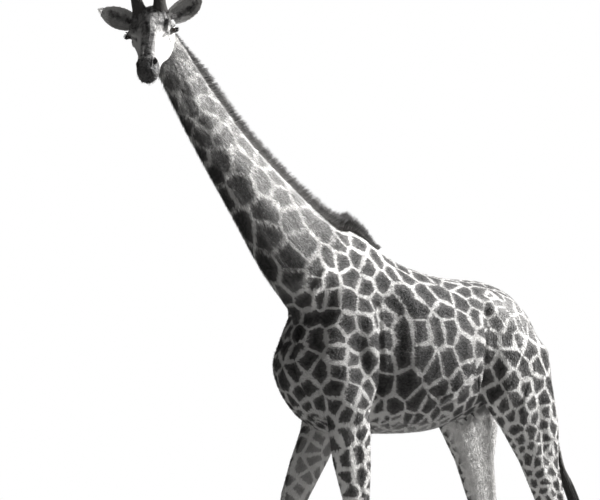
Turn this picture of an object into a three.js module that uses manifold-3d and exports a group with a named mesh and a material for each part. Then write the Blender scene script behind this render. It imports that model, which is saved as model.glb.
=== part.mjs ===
// A still, life-size giraffe in mid stride, head turned to look over its left shoulder side.
// Millimetres. The animal faces -Y, its left side is +X, +Z is up and the floor is z = 0.
// Each part a person would name is a solid of its own; neighbours part along thin gaps.
import * as THREE from "three";
import { mergeVertices } from "three/addons/utils/BufferGeometryUtils.js";
import Module from "manifold-3d";

const wasm = await Module();
wasm.setup();

// ---------------------------------------------------------------- driving dimensions
const GAP = 0.4; // between neighbouring solids
const LEFT = 1;
const RIGHT = -1;

const WITHERS_Z = 2815; // top of the shoulder hump, without the mane
const BELLY_Z = 1725; // lowest line of the chest, between the forelegs

// ---------------------------------------------------------------- shape tools
// A station is one ring of a loft: its centre, its half-width to each side, its reach up and
// down from the centre, and how full its upper and lower halves are (2 is an ellipse, less is
// more pointed, more is boxier). Every value runs through the stations on a Catmull-Rom curve.
function loft(stations, { around = 16, between = 2, axes = null, domes = [0, 0] }) {
  const through = (pick) =>
    new THREE.CatmullRomCurve3(
      stations.map((s) => new THREE.Vector3(...pick(s))),
      false,
      "catmullrom",
      0.5,
    );
  const centres = through((s) => s.at);
  const sizes = through((s) => [s.side, s.up, s.down]);
  const fullness = through((s) => [s.crown ?? 2, s.keel ?? 2, 0]);
  const steps = (stations.length - 1) * between;
  const rings = [];
  for (let i = 0; i <= steps; i++) {
    const t = i / steps;
    const tangent = centres.getTangent(t);
    const side = new THREE.Vector3(1, 0, 0);
    let up = new THREE.Vector3().crossVectors(tangent, side).normalize();
    if (axes) {
      side.copy(axes.side);
      up = axes.up.clone();
    }
    rings.push({
      centre: centres.getPoint(t),
      size: sizes.getPoint(t),
      fullness: fullness.getPoint(t),
      tangent,
      side,
      up,
    });
  }
  return skin(withDomes(rings, domes), around);
}

// Adds shrinking rings past each end, so that the loft closes in a rounded cap.
function withDomes(rings, domes) {
  const capped = [...rings];
  const steps = 3;
  for (const [end, length] of domes.entries()) {
    if (!length) continue;
    const from = end === 0 ? rings[0] : rings[rings.length - 1];
    const outward = end === 0 ? -1 : 1;
    for (let i = 1; i <= steps; i++) {
      const angle = (i / (steps + 0.4)) * (Math.PI / 2);
      const ring = {
        ...from,
        centre: from.centre.clone().addScaledVector(from.tangent, outward * length * Math.sin(angle)),
        size: from.size.clone().multiplyScalar(Math.cos(angle)),
      };
      if (end === 0) capped.unshift(ring);
      else capped.push(ring);
    }
  }
  return capped;
}

// The closed surface over a list of rings, with a fan over each end.
function skin(rings, around) {
  const position = [];
  const index = [];
  const power = (value, exponent) => Math.sign(value) * Math.abs(value) ** (2 / exponent);
  for (const { centre, size, fullness, side, up } of rings) {
    for (let k = 0; k < around; k++) {
      const angle = (2 * Math.PI * k) / around;
      const upper = Math.sin(angle) >= 0;
      const exponent = upper ? fullness.x : fullness.y;
      const across = size.x * power(Math.cos(angle), exponent);
      const along = (upper ? size.y : size.z) * power(Math.sin(angle), exponent);
      const point = centre.clone().addScaledVector(side, across).addScaledVector(up, along);
      position.push(...point.toArray());
    }
  }
  const last = (rings.length - 1) * around;
  for (let i = 0; i < last; i += around) {
    for (let k = 0; k < around; k++) {
      const next = (k + 1) % around;
      const [a, b, c, d] = [i + k, i + next, i + around + next, i + around + k];
      index.push(a, b, c, a, c, d);
    }
  }
  for (const [ring, first] of [[rings[0], 0], [rings[rings.length - 1], last]]) {
    const pole = position.length / 3;
    position.push(...ring.centre.toArray());
    for (let k = 0; k < around; k++) {
      const next = (k + 1) % around;
      if (first === 0) index.push(pole, first + next, first + k);
      else index.push(pole, first + k, first + next);
    }
  }
  return outward(position, index);
}

// A geometry whose faces point out, whichever way round its rings were laid.
function outward(position, index) {
  const p = (i) => new THREE.Vector3().fromArray(position, 3 * i);
  let volume = 0;
  for (let i = 0; i < index.length; i += 3) {
    volume += p(index[i]).dot(p(index[i + 1]).cross(p(index[i + 2])));
  }
  if (volume < 0) {
    for (let i = 0; i < index.length; i += 3) {
      [index[i + 1], index[i + 2]] = [index[i + 2], index[i + 1]];
    }
  }
  return new THREE.BufferGeometry()
    .setAttribute("position", new THREE.Float32BufferAttribute(position, 3))
    .setIndex(index);
}

// A curved sheet point(u, v, layer) made solid: layer 0 is one face, layer 1 the other.
function shell(point, along, across) {
  const position = [];
  const index = [];
  const row = across + 1;
  const layerSize = (along + 1) * row;
  for (const layer of [0, 1]) {
    for (let i = 0; i <= along; i++) {
      for (let j = 0; j <= across; j++) {
        position.push(...point(i / along, (2 * j) / across - 1, layer).toArray());
      }
    }
  }
  const quad = (a, b, c, d) => index.push(a, b, c, a, c, d);
  for (let i = 0; i < along; i++) {
    for (let j = 0; j < across; j++) {
      const a = i * row + j;
      quad(a, a + 1, a + row + 1, a + row);
      quad(a + layerSize, a + layerSize + row, a + layerSize + row + 1, a + layerSize + 1);
    }
    const left = i * row;
    const right = left + across;
    quad(left, left + row, left + row + layerSize, left + layerSize);
    quad(right, right + layerSize, right + row + layerSize, right + row);
  }
  for (let j = 0; j < across; j++) {
    const far = along * row + j;
    quad(j, j + layerSize, j + 1 + layerSize, j + 1);
    quad(far, far + 1, far + 1 + layerSize, far + layerSize);
  }
  return outward(position, index);
}

function solid(geometry, matrix = null) {
  const bare = geometry.clone();
  bare.deleteAttribute("normal");
  bare.deleteAttribute("uv");
  if (matrix) bare.applyMatrix4(matrix);
  const merged = mergeVertices(bare, 1e-3);
  return new wasm.Manifold(
    new wasm.Mesh({
      numProp: 3,
      vertProperties: merged.attributes.position.array,
      triVerts: new Uint32Array(merged.index.array),
    }),
  );
}

function geometryOf(manifold) {
  const { numProp, vertProperties, triVerts } = manifold.getMesh();
  const position = new Float32Array((vertProperties.length / numProp) * 3);
  for (let i = 0; i < position.length / 3; i++) {
    position.set(vertProperties.subarray(i * numProp, i * numProp + 3), i * 3);
  }
  return new THREE.BufferGeometry()
    .setAttribute("position", new THREE.BufferAttribute(position, 3))
    .setIndex(new THREE.BufferAttribute(triVerts, 1));
}

const joined = (solids) => solids.reduce((all, one) => all.add(one));

// The piece less its neighbour, kept a gap away from it along the given direction.
function clearOf(piece, neighbour, direction) {
  const step = new THREE.Vector3(...direction).setLength(GAP);
  return piece.subtract(neighbour).subtract(neighbour.translate(step.toArray()));
}

// Two thin plates that meet along an upright edge and part a haunch from the trunk: one runs
// back from the edge, the other outwards. The pair leans out at the top by the given angle.
function haunchCut([x, y, z], lean, side) {
  const [length, outwards, height] = [640, 330, 900];
  const back = new THREE.BoxGeometry(GAP, length, height).translate(0, length / 2 - GAP, 0);
  const out = new THREE.BoxGeometry(outwards, GAP, height).translate(side * (outwards / 2 - GAP), 0, 0);
  const place = new THREE.Matrix4()
    .makeTranslation(side * x, y, z)
    .multiply(new THREE.Matrix4().makeRotationY(side * lean));
  return solid(back, place).add(solid(out, place));
}

// A thin slab that parts a body in two: its middle, its normal and its half-lengths.
function slab(at, normal, halfAcross, halfDown) {
  const box = new THREE.BoxGeometry(2 * halfAcross, 2 * halfDown, GAP);
  const turn = new THREE.Quaternion().setFromUnitVectors(
    new THREE.Vector3(0, 0, 1),
    new THREE.Vector3(...normal).normalize(),
  );
  return solid(box, new THREE.Matrix4().compose(new THREE.Vector3(...at), turn, new THREE.Vector3(1, 1, 1)));
}

const ellipsoid = (at, radii, rings = 10) =>
  solid(
    new THREE.SphereGeometry(1, rings * 2, rings),
    new THREE.Matrix4().makeTranslation(...at).multiply(new THREE.Matrix4().makeScale(...radii)),
  );

// ---------------------------------------------------------------- trunk
// Rings stand upright across the body; top and bottom are heights above the floor.
const trunkRing = (y, top, wide, bottom, side, crown, keel) => ({
  at: [0, y, wide],
  side,
  up: top - wide,
  down: wide - bottom,
  crown,
  keel,
});
const TRUNK = [
  trunkRing(-690, 2190, 2080, 1945, 100, 2.0, 2.0), // front of the breast
  trunkRing(-635, 2345, 2100, 1860, 152, 1.8, 2.0),
  trunkRing(-540, 2575, 2135, 1775, 204, 1.6, 2.0), // points of the shoulders
  trunkRing(-440, 2760, 2160, BELLY_Z + 5, 240, 1.5, 1.9),
  trunkRing(-320, WITHERS_Z, 2160, BELLY_Z, 265, 1.4, 1.9), // withers
  trunkRing(-190, 2755, 2140, BELLY_Z, 285, 1.5, 2.0),
  trunkRing(-60, 2665, 2120, BELLY_Z, 298, 1.7, 2.0),
  trunkRing(90, 2608, 2110, BELLY_Z + 5, 306, 1.9, 2.1), // widest part of the barrel
  trunkRing(240, 2574, 2110, 1752, 304, 2.0, 2.1),
  trunkRing(380, 2560, 2130, 1812, 286, 2.0, 2.0), // loins
  trunkRing(510, 2558, 2160, 1880, 266, 2.0, 2.0), // hip bones
  trunkRing(630, 2532, 2190, 1925, 244, 2.0, 2.0),
  trunkRing(740, 2480, 2190, 1965, 212, 2.0, 2.0),
  trunkRing(830, 2378, 2170, 2010, 166, 2.0, 2.0), // tail head
];
const UPRIGHT = { side: new THREE.Vector3(1, 0, 0), up: new THREE.Vector3(0, 0, 1) };
const trunkBody = () => solid(loft(TRUNK, { around: 20, between: 2, axes: UPRIGHT, domes: [50, 45] }));

// ---------------------------------------------------------------- neck
const neckRing = (y, z, side, up, down, crown = 2, keel = 2) => ({
  at: [0, y, z],
  side,
  up,
  down,
  crown,
  keel,
});
const NECK = [
  neckRing(-400, 2430, 160, 330, 270),
  neckRing(-520, 2540, 158, 300, 226, 1.7),
  neckRing(-660, 2680, 152, 262, 202, 1.7),
  neckRing(-860, 2930, 132, 182, 172, 1.8),
  neckRing(-1035, 3130, 110, 142, 138, 1.8),
  neckRing(-1190, 3332, 90, 116, 120),
  neckRing(-1325, 3528, 76, 94, 104),
  neckRing(-1412, 3665, 72, 82, 94),
  neckRing(-1462, 3760, 70, 70, 84),
];
const neckBody = () => solid(loft(NECK, { around: 16, between: 2, domes: [0, 30] }));

// ---------------------------------------------------------------- head
// The head is shaped level, facing -Y, about the point midway between its eyes.
const HEAD_AT = new THREE.Vector3(156, -1591, 3715);
const HEAD_TURN = THREE.MathUtils.degToRad(50.5); // to its left
const HEAD_NOD = THREE.MathUtils.degToRad(33); // muzzle down
const HEAD_TILT = THREE.MathUtils.degToRad(7); // left eye up
const headMatrix = new THREE.Matrix4()
  .makeTranslation(HEAD_AT)
  .multiply(new THREE.Matrix4().makeRotationZ(HEAD_TURN))
  .multiply(new THREE.Matrix4().makeRotationY(-HEAD_TILT))
  .multiply(new THREE.Matrix4().makeRotationX(HEAD_NOD));

const HEAD = [
  trunkRing(215, 60, -8, -82, 62, 2, 2), // nape
  trunkRing(155, 98, -8, -122, 82, 2, 2),
  trunkRing(95, 112, -10, -146, 92, 2.2, 2),
  trunkRing(40, 106, -12, -154, 101, 2.2, 2.1), // cheeks and angle of the jaw
  trunkRing(-15, 90, -12, -148, 99, 2.2, 2),
  trunkRing(-75, 74, -16, -130, 80, 2.2, 2),
  trunkRing(-140, 58, -22, -112, 65, 2.3, 2),
  trunkRing(-205, 44, -26, -99, 57, 2.4, 2.2),
  trunkRing(-270, 34, -30, -94, 54, 2.5, 2.3),
  trunkRing(-325, 22, -32, -90, 57, 2.5, 2.2), // nostrils
  trunkRing(-368, 6, -42, -84, 50, 2.3, 2.1), // lips
];
const ORBIT = { at: [85, 4, 26], radii: [36, 50, 40] };
const FOREHEAD = { at: [0, -15, 64], radii: [48, 84, 38] }; // its swelling between the eyes
const EYE = { at: [100, -2, 22], radius: 23 };
const OSSICONE = { base: [50, 90, 88], reach: [20, 48, 158], foot: 40, waist: 26, knob: 27 };
const NOSTRIL = { at: [38, -322, -4], radii: [19, 28, 18] };

const mirrored = ([x, y, z], side) => [x * side, y, z];

function skull() {
  const level = [solid(loft(HEAD, { around: 18, between: 2, axes: UPRIGHT, domes: [25, 30] }))];
  for (const side of [LEFT, RIGHT]) {
    level.push(ellipsoid(mirrored(ORBIT.at, side), ORBIT.radii, 5));
    level.push(ellipsoid(mirrored(NOSTRIL.at, side), NOSTRIL.radii, 5));
  }
  level.push(ellipsoid(FOREHEAD.at, FOREHEAD.radii, 5));
  return joined(level);
}

function eye(side, extra = 0) {
  const radius = EYE.radius + extra;
  return ellipsoid(mirrored(EYE.at, side), [radius, radius, radius], 6);
}

function ossicone(side) {
  const root = new THREE.Vector3(...mirrored(OSSICONE.base, side));
  const reach = new THREE.Vector3(...mirrored(OSSICONE.reach, side));
  const ring = (share, radius) => ({
    at: root.clone().addScaledVector(reach, share).toArray(),
    side: radius,
    up: radius,
    down: radius,
  });
  const rings = [
    ring(-0.1, OSSICONE.foot * 1.1),
    ring(0.15, OSSICONE.foot * 0.85),
    ring(0.5, OSSICONE.waist),
    ring(0.8, OSSICONE.waist),
    ring(0.93, OSSICONE.knob),
  ];
  return solid(loft(rings, { around: 10, between: 1, domes: [0, OSSICONE.knob * 0.8] }));
}

// A leaf cupped about its long axis, curled into a tube at its root and open towards its tip.
const EAR = { length: 196, halfWidth: 54, thick: 9, root: [95, 104, 38] };
const EAR_AXIS = [0.84, 0.18, 0.42]; // towards the tip, on the left side
const EAR_MOUTH = [0.15, -0.78, 0.62]; // the way the hollow faces

function ear(side) {
  const axis = new THREE.Vector3(...mirrored(EAR_AXIS, side)).normalize();
  const mouth = new THREE.Vector3(...mirrored(EAR_MOUTH, side));
  mouth.addScaledVector(axis, -mouth.dot(axis)).normalize();
  const across = new THREE.Vector3().crossVectors(axis, mouth).multiplyScalar(side);
  const root = new THREE.Vector3(...mirrored(EAR.root, side));
  const point = (u, v, layer) => {
    const leaf = 0.34 + 0.66 * Math.sin(Math.PI * Math.min(1, 0.1 + u * 0.9) ** 0.95) ** 0.8;
    const taper = u < 0.55 ? 1 : Math.sqrt(Math.max(0, 1 - ((u - 0.55) / 0.45) ** 2.2));
    const halfWidth = Math.max(3, EAR.halfWidth * leaf * taper);
    const curl = THREE.MathUtils.degToRad(THREE.MathUtils.lerp(88, 34, Math.sqrt(u)));
    const radius = halfWidth / Math.sin(curl) + layer * EAR.thick * (1 - 0.6 * u);
    const inner = halfWidth / Math.sin(curl);
    return root
      .clone()
      .addScaledVector(axis, u * EAR.length)
      .addScaledVector(across, radius * Math.sin(v * curl))
      .addScaledVector(mouth, inner - radius * Math.cos(v * curl) - inner);
  };
  return solid(shell(point, 9, 6));
}

// ---------------------------------------------------------------- legs
// A leg runs through its joints; each row below is a level ring at a share of one bone's
// length, with its half-width to each side and its reach forwards and backwards.
const FORELEG_JOINTS = {
  left: [
    [84, -330, 2600], // top of the shoulder blade
    [175, -510, 2085], // point of the shoulder
    [190, -440, 1800], // elbow
    [178, -340, 1040], // knee
    [168, -318, 262], // fetlock
    [168, -360, 118], // coronet
  ],
  right: [
    [-84, -350, 2600],
    [-175, -485, 2075],
    [-190, -330, 1800],
    [-186, -690, 1030],
    [-182, -895, 258],
    [-182, -945, 118],
  ],
};
const FORELEG = [
  // bone, share, side, front, back
  [0, 0.1, 40, 90, 110],
  [0, 0.5, 72, 130, 190],
  [1, 0.0, 84, 132, 262],
  [1, 0.5, 86, 118, 235],
  [1, 0.95, 80, 112, 125],
  [2, 0.12, 70, 122, 126],
  [2, 0.28, 61, 117, 117],
  [2, 0.54, 52, 82, 84],
  [2, 0.84, 45, 54, 60],
  [2, 0.98, 55, 62, 60],
  [3, 0.05, 54, 60, 58],
  [3, 0.17, 42, 43, 46],
  [3, 0.55, 35, 37, 43],
  [3, 0.84, 38, 40, 47],
  [4, 0.0, 52, 50, 60],
  [4, 0.5, 50, 46, 50],
  [4, 1.0, 66, 62, 62],
];
const HINDLEG_JOINTS = {
  left: [
    [92, 540, 2400], // croup
    [165, 650, 2210], // hip
    [200, 640, 1900], // stifle
    [182, 1000, 1050], // hock
    [172, 1030, 262], // fetlock
    [172, 982, 118], // coronet
  ],
  right: [
    [-92, 520, 2400],
    [-165, 620, 2210],
    [-200, 545, 1890],
    [-182, 768, 1075],
    [-172, 668, 262],
    [-172, 622, 118],
  ],
};
const HINDLEG = [
  [0, 0.1, 45, 95, 140],
  [0, 0.6, 80, 185, 205],
  [1, 0.1, 98, 262, 238],
  [1, 0.5, 103, 262, 240],
  [1, 0.95, 96, 222, 268],
  [2, 0.16, 80, 150, 240],
  [2, 0.38, 63, 98, 162],
  [2, 0.62, 50, 80, 118],
  [2, 0.86, 44, 60, 96],
  [3, 0.0, 53, 58, 86],
  [3, 0.1, 47, 54, 66],
  [3, 0.24, 38, 43, 46],
  [3, 0.6, 34, 37, 42],
  [3, 0.85, 38, 41, 47],
  [4, 0.0, 50, 50, 58],
  [4, 0.5, 48, 46, 50],
  [4, 1.0, 62, 60, 60],
];
const FORWARD_RINGS = { side: new THREE.Vector3(1, 0, 0), up: new THREE.Vector3(0, -1, 0) };

function leg(joints, rows) {
  const stations = rows.map(([bone, share, side, front, back]) => {
    const at = new THREE.Vector3(...joints[bone]).lerp(new THREE.Vector3(...joints[bone + 1]), share);
    return { at: at.toArray(), side, up: front, down: back, crown: 2.1, keel: 2.1 };
  });
  return solid(loft(stations, { around: 14, between: 1, axes: FORWARD_RINGS }));
}

// ---------------------------------------------------------------- hooves
const HOOF = { fore: { length: 225, width: 178 }, hind: { length: 205, width: 158 }, cleft: 8 };

function claw(coronet, size, side) {
  const [x, y, top] = coronet;
  const half = size.width / 4 - HOOF.cleft / 4;
  const middle = x + side * (half + HOOF.cleft / 2);
  const ring = (share, wide, front, back) => ({
    at: [middle, y + 12, (top - GAP) * share],
    side: half * wide,
    up: front * size.length,
    down: back * size.length,
    crown: 2.2,
    keel: 3,
  });
  const rings = [
    ring(1, 0.82, 0.28, 0.3),
    ring(0.6, 0.92, 0.37, 0.35),
    ring(0.14, 1, 0.52, 0.38),
    ring(0, 0.98, 0.53, 0.37),
  ];
  return solid(loft(rings, { around: 12, between: 1, axes: FORWARD_RINGS }));
}

// ---------------------------------------------------------------- tail
const TAIL = [
  [0, 800, 2380, 46],
  [0, 880, 2300, 42],
  [2, 955, 2140, 33],
  [5, 1010, 1940, 25],
  [10, 1055, 1730, 20],
  [16, 1098, 1560, 17],
];
const TUFT = [
  [16, 1101, 1548, 18],
  [20, 1135, 1460, 30],
  [26, 1190, 1330, 40],
  [32, 1235, 1170, 40],
  [36, 1262, 1010, 24],
];
const strand = (rows, domes) =>
  solid(
    loft(
      rows.map(([x, y, z, radius]) => ({ at: [x, y, z], side: radius, up: radius, down: radius })),
      { around: 10, between: 2, axes: FORWARD_RINGS, domes },
    ),
  );

// ---------------------------------------------------------------- mane
// A crest on the upper line of the neck, from behind the ears to the withers.
const MANE = { height: 62, half: 21, sunk: 30 };

function mane() {
  const upperLine = NECK.slice(1).map(({ at, up }, i, all) => {
    const [from, to] = [all[Math.max(0, i - 1)].at, all[Math.min(all.length - 1, i + 1)].at];
    const run = new THREE.Vector3(...to).sub(new THREE.Vector3(...from)).normalize();
    const dorsal = run.clone().cross(new THREE.Vector3(1, 0, 0));
    return new THREE.Vector3(...at).addScaledVector(dorsal, up);
  });
  const line = [
    new THREE.Vector3(0, -150, 2738),
    new THREE.Vector3(0, -250, 2806),
    new THREE.Vector3(0, -360, WITHERS_Z + 18),
    new THREE.Vector3(0, -480, 2872),
    ...upperLine.slice(2),
  ];
  const last = line.length - 1;
  const stations = line.map((at, i) => {
    const height = i === 0 ? 10 : i === 1 ? MANE.height * 0.6 : MANE.height;
    return { at: at.toArray(), side: MANE.half, up: height, down: MANE.sunk, crown: 1.7 };
  });
  stations[last].up = MANE.height * 0.1;
  stations[last - 1].up = MANE.height * 0.45;
  return solid(loft(stations, { around: 8, between: 1, domes: [0, 12] }));
}

// ---------------------------------------------------------------- assembly
const COLOURS = {
  coat: [0x8f8b86, 0.9],
  mane: [0x3f3b38, 0.9],
  horn: [0x4a4643, 0.85],
  hoof: [0x35312e, 0.6],
  eye: [0x0c0b0a, 0.15],
};
const giraffe = new THREE.Group();

function place(name, manifold, finish) {
  const [color, roughness] = COLOURS[finish];
  const mesh = new THREE.Mesh(
    geometryOf(manifold),
    new THREE.MeshStandardMaterial({ color, roughness, metalness: 0 }),
  );
  mesh.name = name;
  giraffe.add(mesh);
}

// The largest piece of a parted body that holds most of its bulk near the point.
function pieceNear(pieces, point) {
  const at = new THREE.Vector3(...point);
  const distance = (piece) => {
    const { min, max } = piece.boundingBox();
    return new THREE.Box3(new THREE.Vector3(...min), new THREE.Vector3(...max))
      .getCenter(new THREE.Vector3())
      .distanceTo(at);
  };
  return pieces.filter((piece) => piece.volume() > 1e4).sort((a, b) => distance(a) - distance(b))[0];
}

const LEGS = [
  ["fore_left", FORELEG_JOINTS.left, FORELEG, HOOF.fore],
  ["fore_right", FORELEG_JOINTS.right, FORELEG, HOOF.fore],
  ["hind_left", HINDLEG_JOINTS.left, HINDLEG, HOOF.hind],
  ["hind_right", HINDLEG_JOINTS.right, HINDLEG, HOOF.hind],
];
const headLevel = skull();
const head = [LEFT, RIGHT]
  .reduce((body, side) => body.subtract(eye(side, GAP)), headLevel)
  .transform(headMatrix.toArray());
const flesh = joined([
  trunkBody(),
  neckBody(),
  ...LEGS.map(([, joints, rows]) => leg(joints, rows)),
  strand(TAIL, [0, 10]),
  head,
]);

const HAUNCH = { at: [135, 385, 1950], lean: THREE.MathUtils.degToRad(16.6) };
const CUTS = [
  slab([0, -600, 2610], [0, -0.62, 0.78], 420, 560), // neck from trunk
  slab([20, -1470, 3745], [0.3, -0.85, 0.42], 190, 230), // head from neck
  slab([0, 905, 2265], [0, 0.5, -0.87], 60, 70), // tail
  slab([255, -460, 1855], [-0.6, 0, 0.8], 215, 330), // forelegs
  slab([-255, -460, 1855], [0.6, 0, 0.8], 215, 330),
  haunchCut(HAUNCH.at, HAUNCH.lean, LEFT),
  haunchCut(HAUNCH.at, HAUNCH.lean, RIGHT),
];
const pieces = CUTS.reduce((body, cut) => body.subtract(cut), flesh).decompose();

place("trunk", pieceNear(pieces, [0, 0, 2150]), "coat");
place("neck", pieceNear(pieces, [0, -1050, 3050]), "coat");
place("head", pieceNear(pieces, [200, -1700, 3700]), "coat");
place("tail", pieceNear(pieces, [0, 1000, 1900]), "coat");
for (const [name, joints] of LEGS) {
  const [x, y] = joints[3];
  place(`leg_${name}`, pieceNear(pieces, [x, y, 1000]), "coat");
}

const upper = pieceNear(pieces, [0, -1050, 3050]).add(pieceNear(pieces, [0, 0, 2150]));
const crest = clearOf(mane(), upper, [0, 0.62, 0.78]).subtract(pieceNear(pieces, [200, -1700, 3700]));
place("mane", crest.decompose().sort((a, b) => b.volume() - a.volume())[0], "mane");
place("tail_tuft", strand(TUFT, [0, 50]), "mane");

for (const [word, side] of [["left", LEFT], ["right", RIGHT]]) {
  const outer = (piece, direction) =>
    clearOf(piece, headLevel, direction)
      .decompose()
      .sort((a, b) => b.volume() - a.volume())[0]
      .transform(headMatrix.toArray());
  place(`ear_${word}`, outer(ear(side), mirrored(EAR_AXIS, side)), "coat");
  place(`horn_${word}`, outer(ossicone(side), mirrored(OSSICONE.reach, side)), "horn");
  place(`eye_${word}`, eye(side).transform(headMatrix.toArray()), "eye");
}
for (const [name, joints, , size] of LEGS) {
  for (const [word, side] of [["a", LEFT], ["b", RIGHT]]) {
    place(`hoof_${name}_${word}`, claw(joints[5], size, side), "hoof");
  }
}

// The frame's origin is on the floor, under the middle of the whole animal.
const bounds = new THREE.Box3().setFromObject(giraffe);
const middle = bounds.getCenter(new THREE.Vector3());
giraffe.position.set(-middle.x, -middle.y, 0);

export default giraffe;
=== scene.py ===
import math

import bpy
import numpy as np
from mathutils import Matrix, Vector
from mathutils.bvhtree import BVHTree
from mathutils.kdtree import KDTree


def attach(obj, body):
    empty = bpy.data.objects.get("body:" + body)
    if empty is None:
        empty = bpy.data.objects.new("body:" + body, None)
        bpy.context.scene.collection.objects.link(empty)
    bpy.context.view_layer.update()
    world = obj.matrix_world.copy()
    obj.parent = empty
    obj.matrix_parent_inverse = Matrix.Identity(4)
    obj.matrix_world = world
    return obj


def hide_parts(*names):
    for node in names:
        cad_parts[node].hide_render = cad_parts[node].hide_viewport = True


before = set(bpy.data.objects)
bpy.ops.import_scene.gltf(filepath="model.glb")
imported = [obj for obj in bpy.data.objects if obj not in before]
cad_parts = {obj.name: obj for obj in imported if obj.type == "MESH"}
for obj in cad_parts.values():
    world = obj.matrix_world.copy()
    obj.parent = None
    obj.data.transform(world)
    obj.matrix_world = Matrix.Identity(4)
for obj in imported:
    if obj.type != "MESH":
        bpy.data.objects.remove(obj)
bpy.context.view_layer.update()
rng = np.random.default_rng(7)

# ------------------------------------------------------------------ main sizes, in metres
VOXEL = 0.008  # grain of the first skin
COAT_DEPTH = 0.005  # the skin lies this far under the outline
SKIN_TRIANGLES = 192000
MIDDLE_X, MIDDLE_Y = -0.0644, 0.2546  # where the body's own middle plane and start lie
LEFT, RIGHT = 1, -1

# The head is laid out level, facing -Y, about the point midway between its eyes.
HEAD_PLACE = (
    Matrix.Translation((0.0916, -1.3364, 3.715))
    @ Matrix.Rotation(math.radians(50.5), 4, "Z")
    @ Matrix.Rotation(math.radians(-7), 4, "Y")
    @ Matrix.Rotation(math.radians(33), 4, "X")
)
HEAD_TURN = np.array(HEAD_PLACE.to_3x3())
HEAD_AT = np.array(HEAD_PLACE.translation)
EYE_AT = (100, -2, 22)  # of the level head, in millimetres
EYE_RADIUS = 23


def of_head(point, side=LEFT):
    """A point of the level head, in millimetres, as a place in the room."""
    x, y, z = point
    return HEAD_TURN @ np.array([x * side, y, z]) / 1000 + HEAD_AT


def head_frame(points):
    """Places in the room as millimetres of the level head."""
    return (points - HEAD_AT) @ HEAD_TURN * 1000


# Middle lines of the body, along which hair lies and markings run.
def body_line(*points):
    return np.array([(x + MIDDLE_X, y + MIDDLE_Y, z) for x, y, z in points])


LINES = {
    "trunk": body_line((0, -0.66, 2.09), (0, -0.42, 2.16), (0, -0.19, 2.14), (0, 0.09, 2.11),
                       (0, 0.38, 2.13), (0, 0.63, 2.19), (0, 0.83, 2.17)),
    "neck": body_line((0, -1.462, 3.76), (0, -1.325, 3.528), (0, -1.19, 3.332),
                      (0, -1.035, 3.13), (0, -0.86, 2.93), (0, -0.66, 2.68), (0, -0.47, 2.49)),
    "head": np.array([of_head((0, y, z)) for y, z in
                      ((-395, -45), (-270, -35), (-140, -30), (0, -25), (110, -12), (215, -8))]),
    "tail": body_line((0, 0.88, 2.30), (0.002, 0.955, 2.14), (0.005, 1.01, 1.94),
                      (0.010, 1.055, 1.73), (0.016, 1.098, 1.56)),
    "leg_fore_left": body_line((0.178, -0.50, 2.05), (0.190, -0.44, 1.80), (0.178, -0.34, 1.04),
                               (0.168, -0.318, 0.262), (0.168, -0.36, 0.118)),
    "leg_fore_right": body_line((-0.178, -0.48, 2.05), (-0.190, -0.33, 1.80),
                                (-0.186, -0.69, 1.03), (-0.182, -0.895, 0.258),
                                (-0.182, -0.945, 0.118)),
    "leg_hind_left": body_line((0.165, 0.65, 2.21), (0.200, 0.64, 1.90), (0.182, 1.00, 1.05),
                               (0.172, 1.03, 0.262), (0.172, 0.982, 0.118)),
    "leg_hind_right": body_line((-0.165, 0.62, 2.21), (-0.200, 0.545, 1.89),
                                (-0.182, 0.768, 1.075), (-0.172, 0.668, 0.262),
                                (-0.172, 0.622, 0.118)),
    "ear_left": np.array([of_head((95 + 165 * t, 104 + 35 * t, 38 + 82 * t)) for t in (0, 0.5, 1)]),
    "ear_right": np.array([of_head((95 + 165 * t, 104 + 35 * t, 38 + 82 * t), RIGHT)
                           for t in (0, 0.5, 1)]),
}
FLESH = list(LINES)
LEGS = [name for name in FLESH if name.startswith("leg")]
EARS = ["ear_left", "ear_right"]
HEAD = FLESH.index("head")


def joint_at(line, place):
    """A place on a middle line, counted in its joints, and the line's run there."""
    joints = LINES[line]
    i = min(int(place), len(joints) - 2)
    run = joints[i + 1] - joints[i]
    return joints[i] + run * (place - i), run


def upward(run):
    """Up from a run of a middle line, square to it."""
    up = np.cross([1, 0, 0], run)
    return Vector(up if up[2] > 0 else -up)


# ------------------------------------------------------------------ mesh tools
def deselect():
    bpy.ops.object.select_all(action="DESELECT")


def activate(obj):
    deselect()
    obj.select_set(True)
    bpy.context.view_layer.objects.active = obj


def edit(obj, *operators):
    """Runs edit-mode operators on all of an object's mesh."""
    activate(obj)
    bpy.ops.object.mode_set(mode="EDIT")
    bpy.ops.mesh.select_all(action="SELECT")
    for operator in operators:
        operator()
    bpy.ops.object.mode_set(mode="OBJECT")


def remesh(obj, grain):
    """Joins an object's overlapping shells into one closed skin of this grain."""
    activate(obj)
    modifier = obj.modifiers.new("grain", "REMESH")
    modifier.mode = "VOXEL"
    modifier.voxel_size = grain
    bpy.ops.object.modifier_apply(modifier=modifier.name)


def placed(name, data):
    """A new object in the scene."""
    obj = bpy.data.objects.new(name, data)
    bpy.context.scene.collection.objects.link(obj)
    return obj


def settle(obj, slot, *nodes):
    """Hangs a piece on the root body and hides the nodes that it stands for. What it is made of,
    the slot, is not used.
    """
    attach(obj, "root")
    if nodes:
        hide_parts(*nodes)


def read(items, field, width, kind=float):
    """One field of all a mesh's items, as the rows of an array."""
    flat = np.empty(len(items) * width, kind)
    items.foreach_get(field, flat)
    return flat.reshape(-1, width)


def points_of(mesh):
    return read(mesh.vertices, "co", 3)


def set_points(mesh, points):
    mesh.vertices.foreach_set("co", np.asarray(points, float).ravel())
    mesh.update()


def triangles_of(mesh):
    return read(mesh.loops, "vertex_index", 1, np.int32).reshape(-1, 3)


def edges_of(mesh):
    return read(mesh.edges, "vertices", 2, np.int32)


def normals_of(mesh):
    return read(mesh.vertex_normals, "vector", 3)


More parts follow.
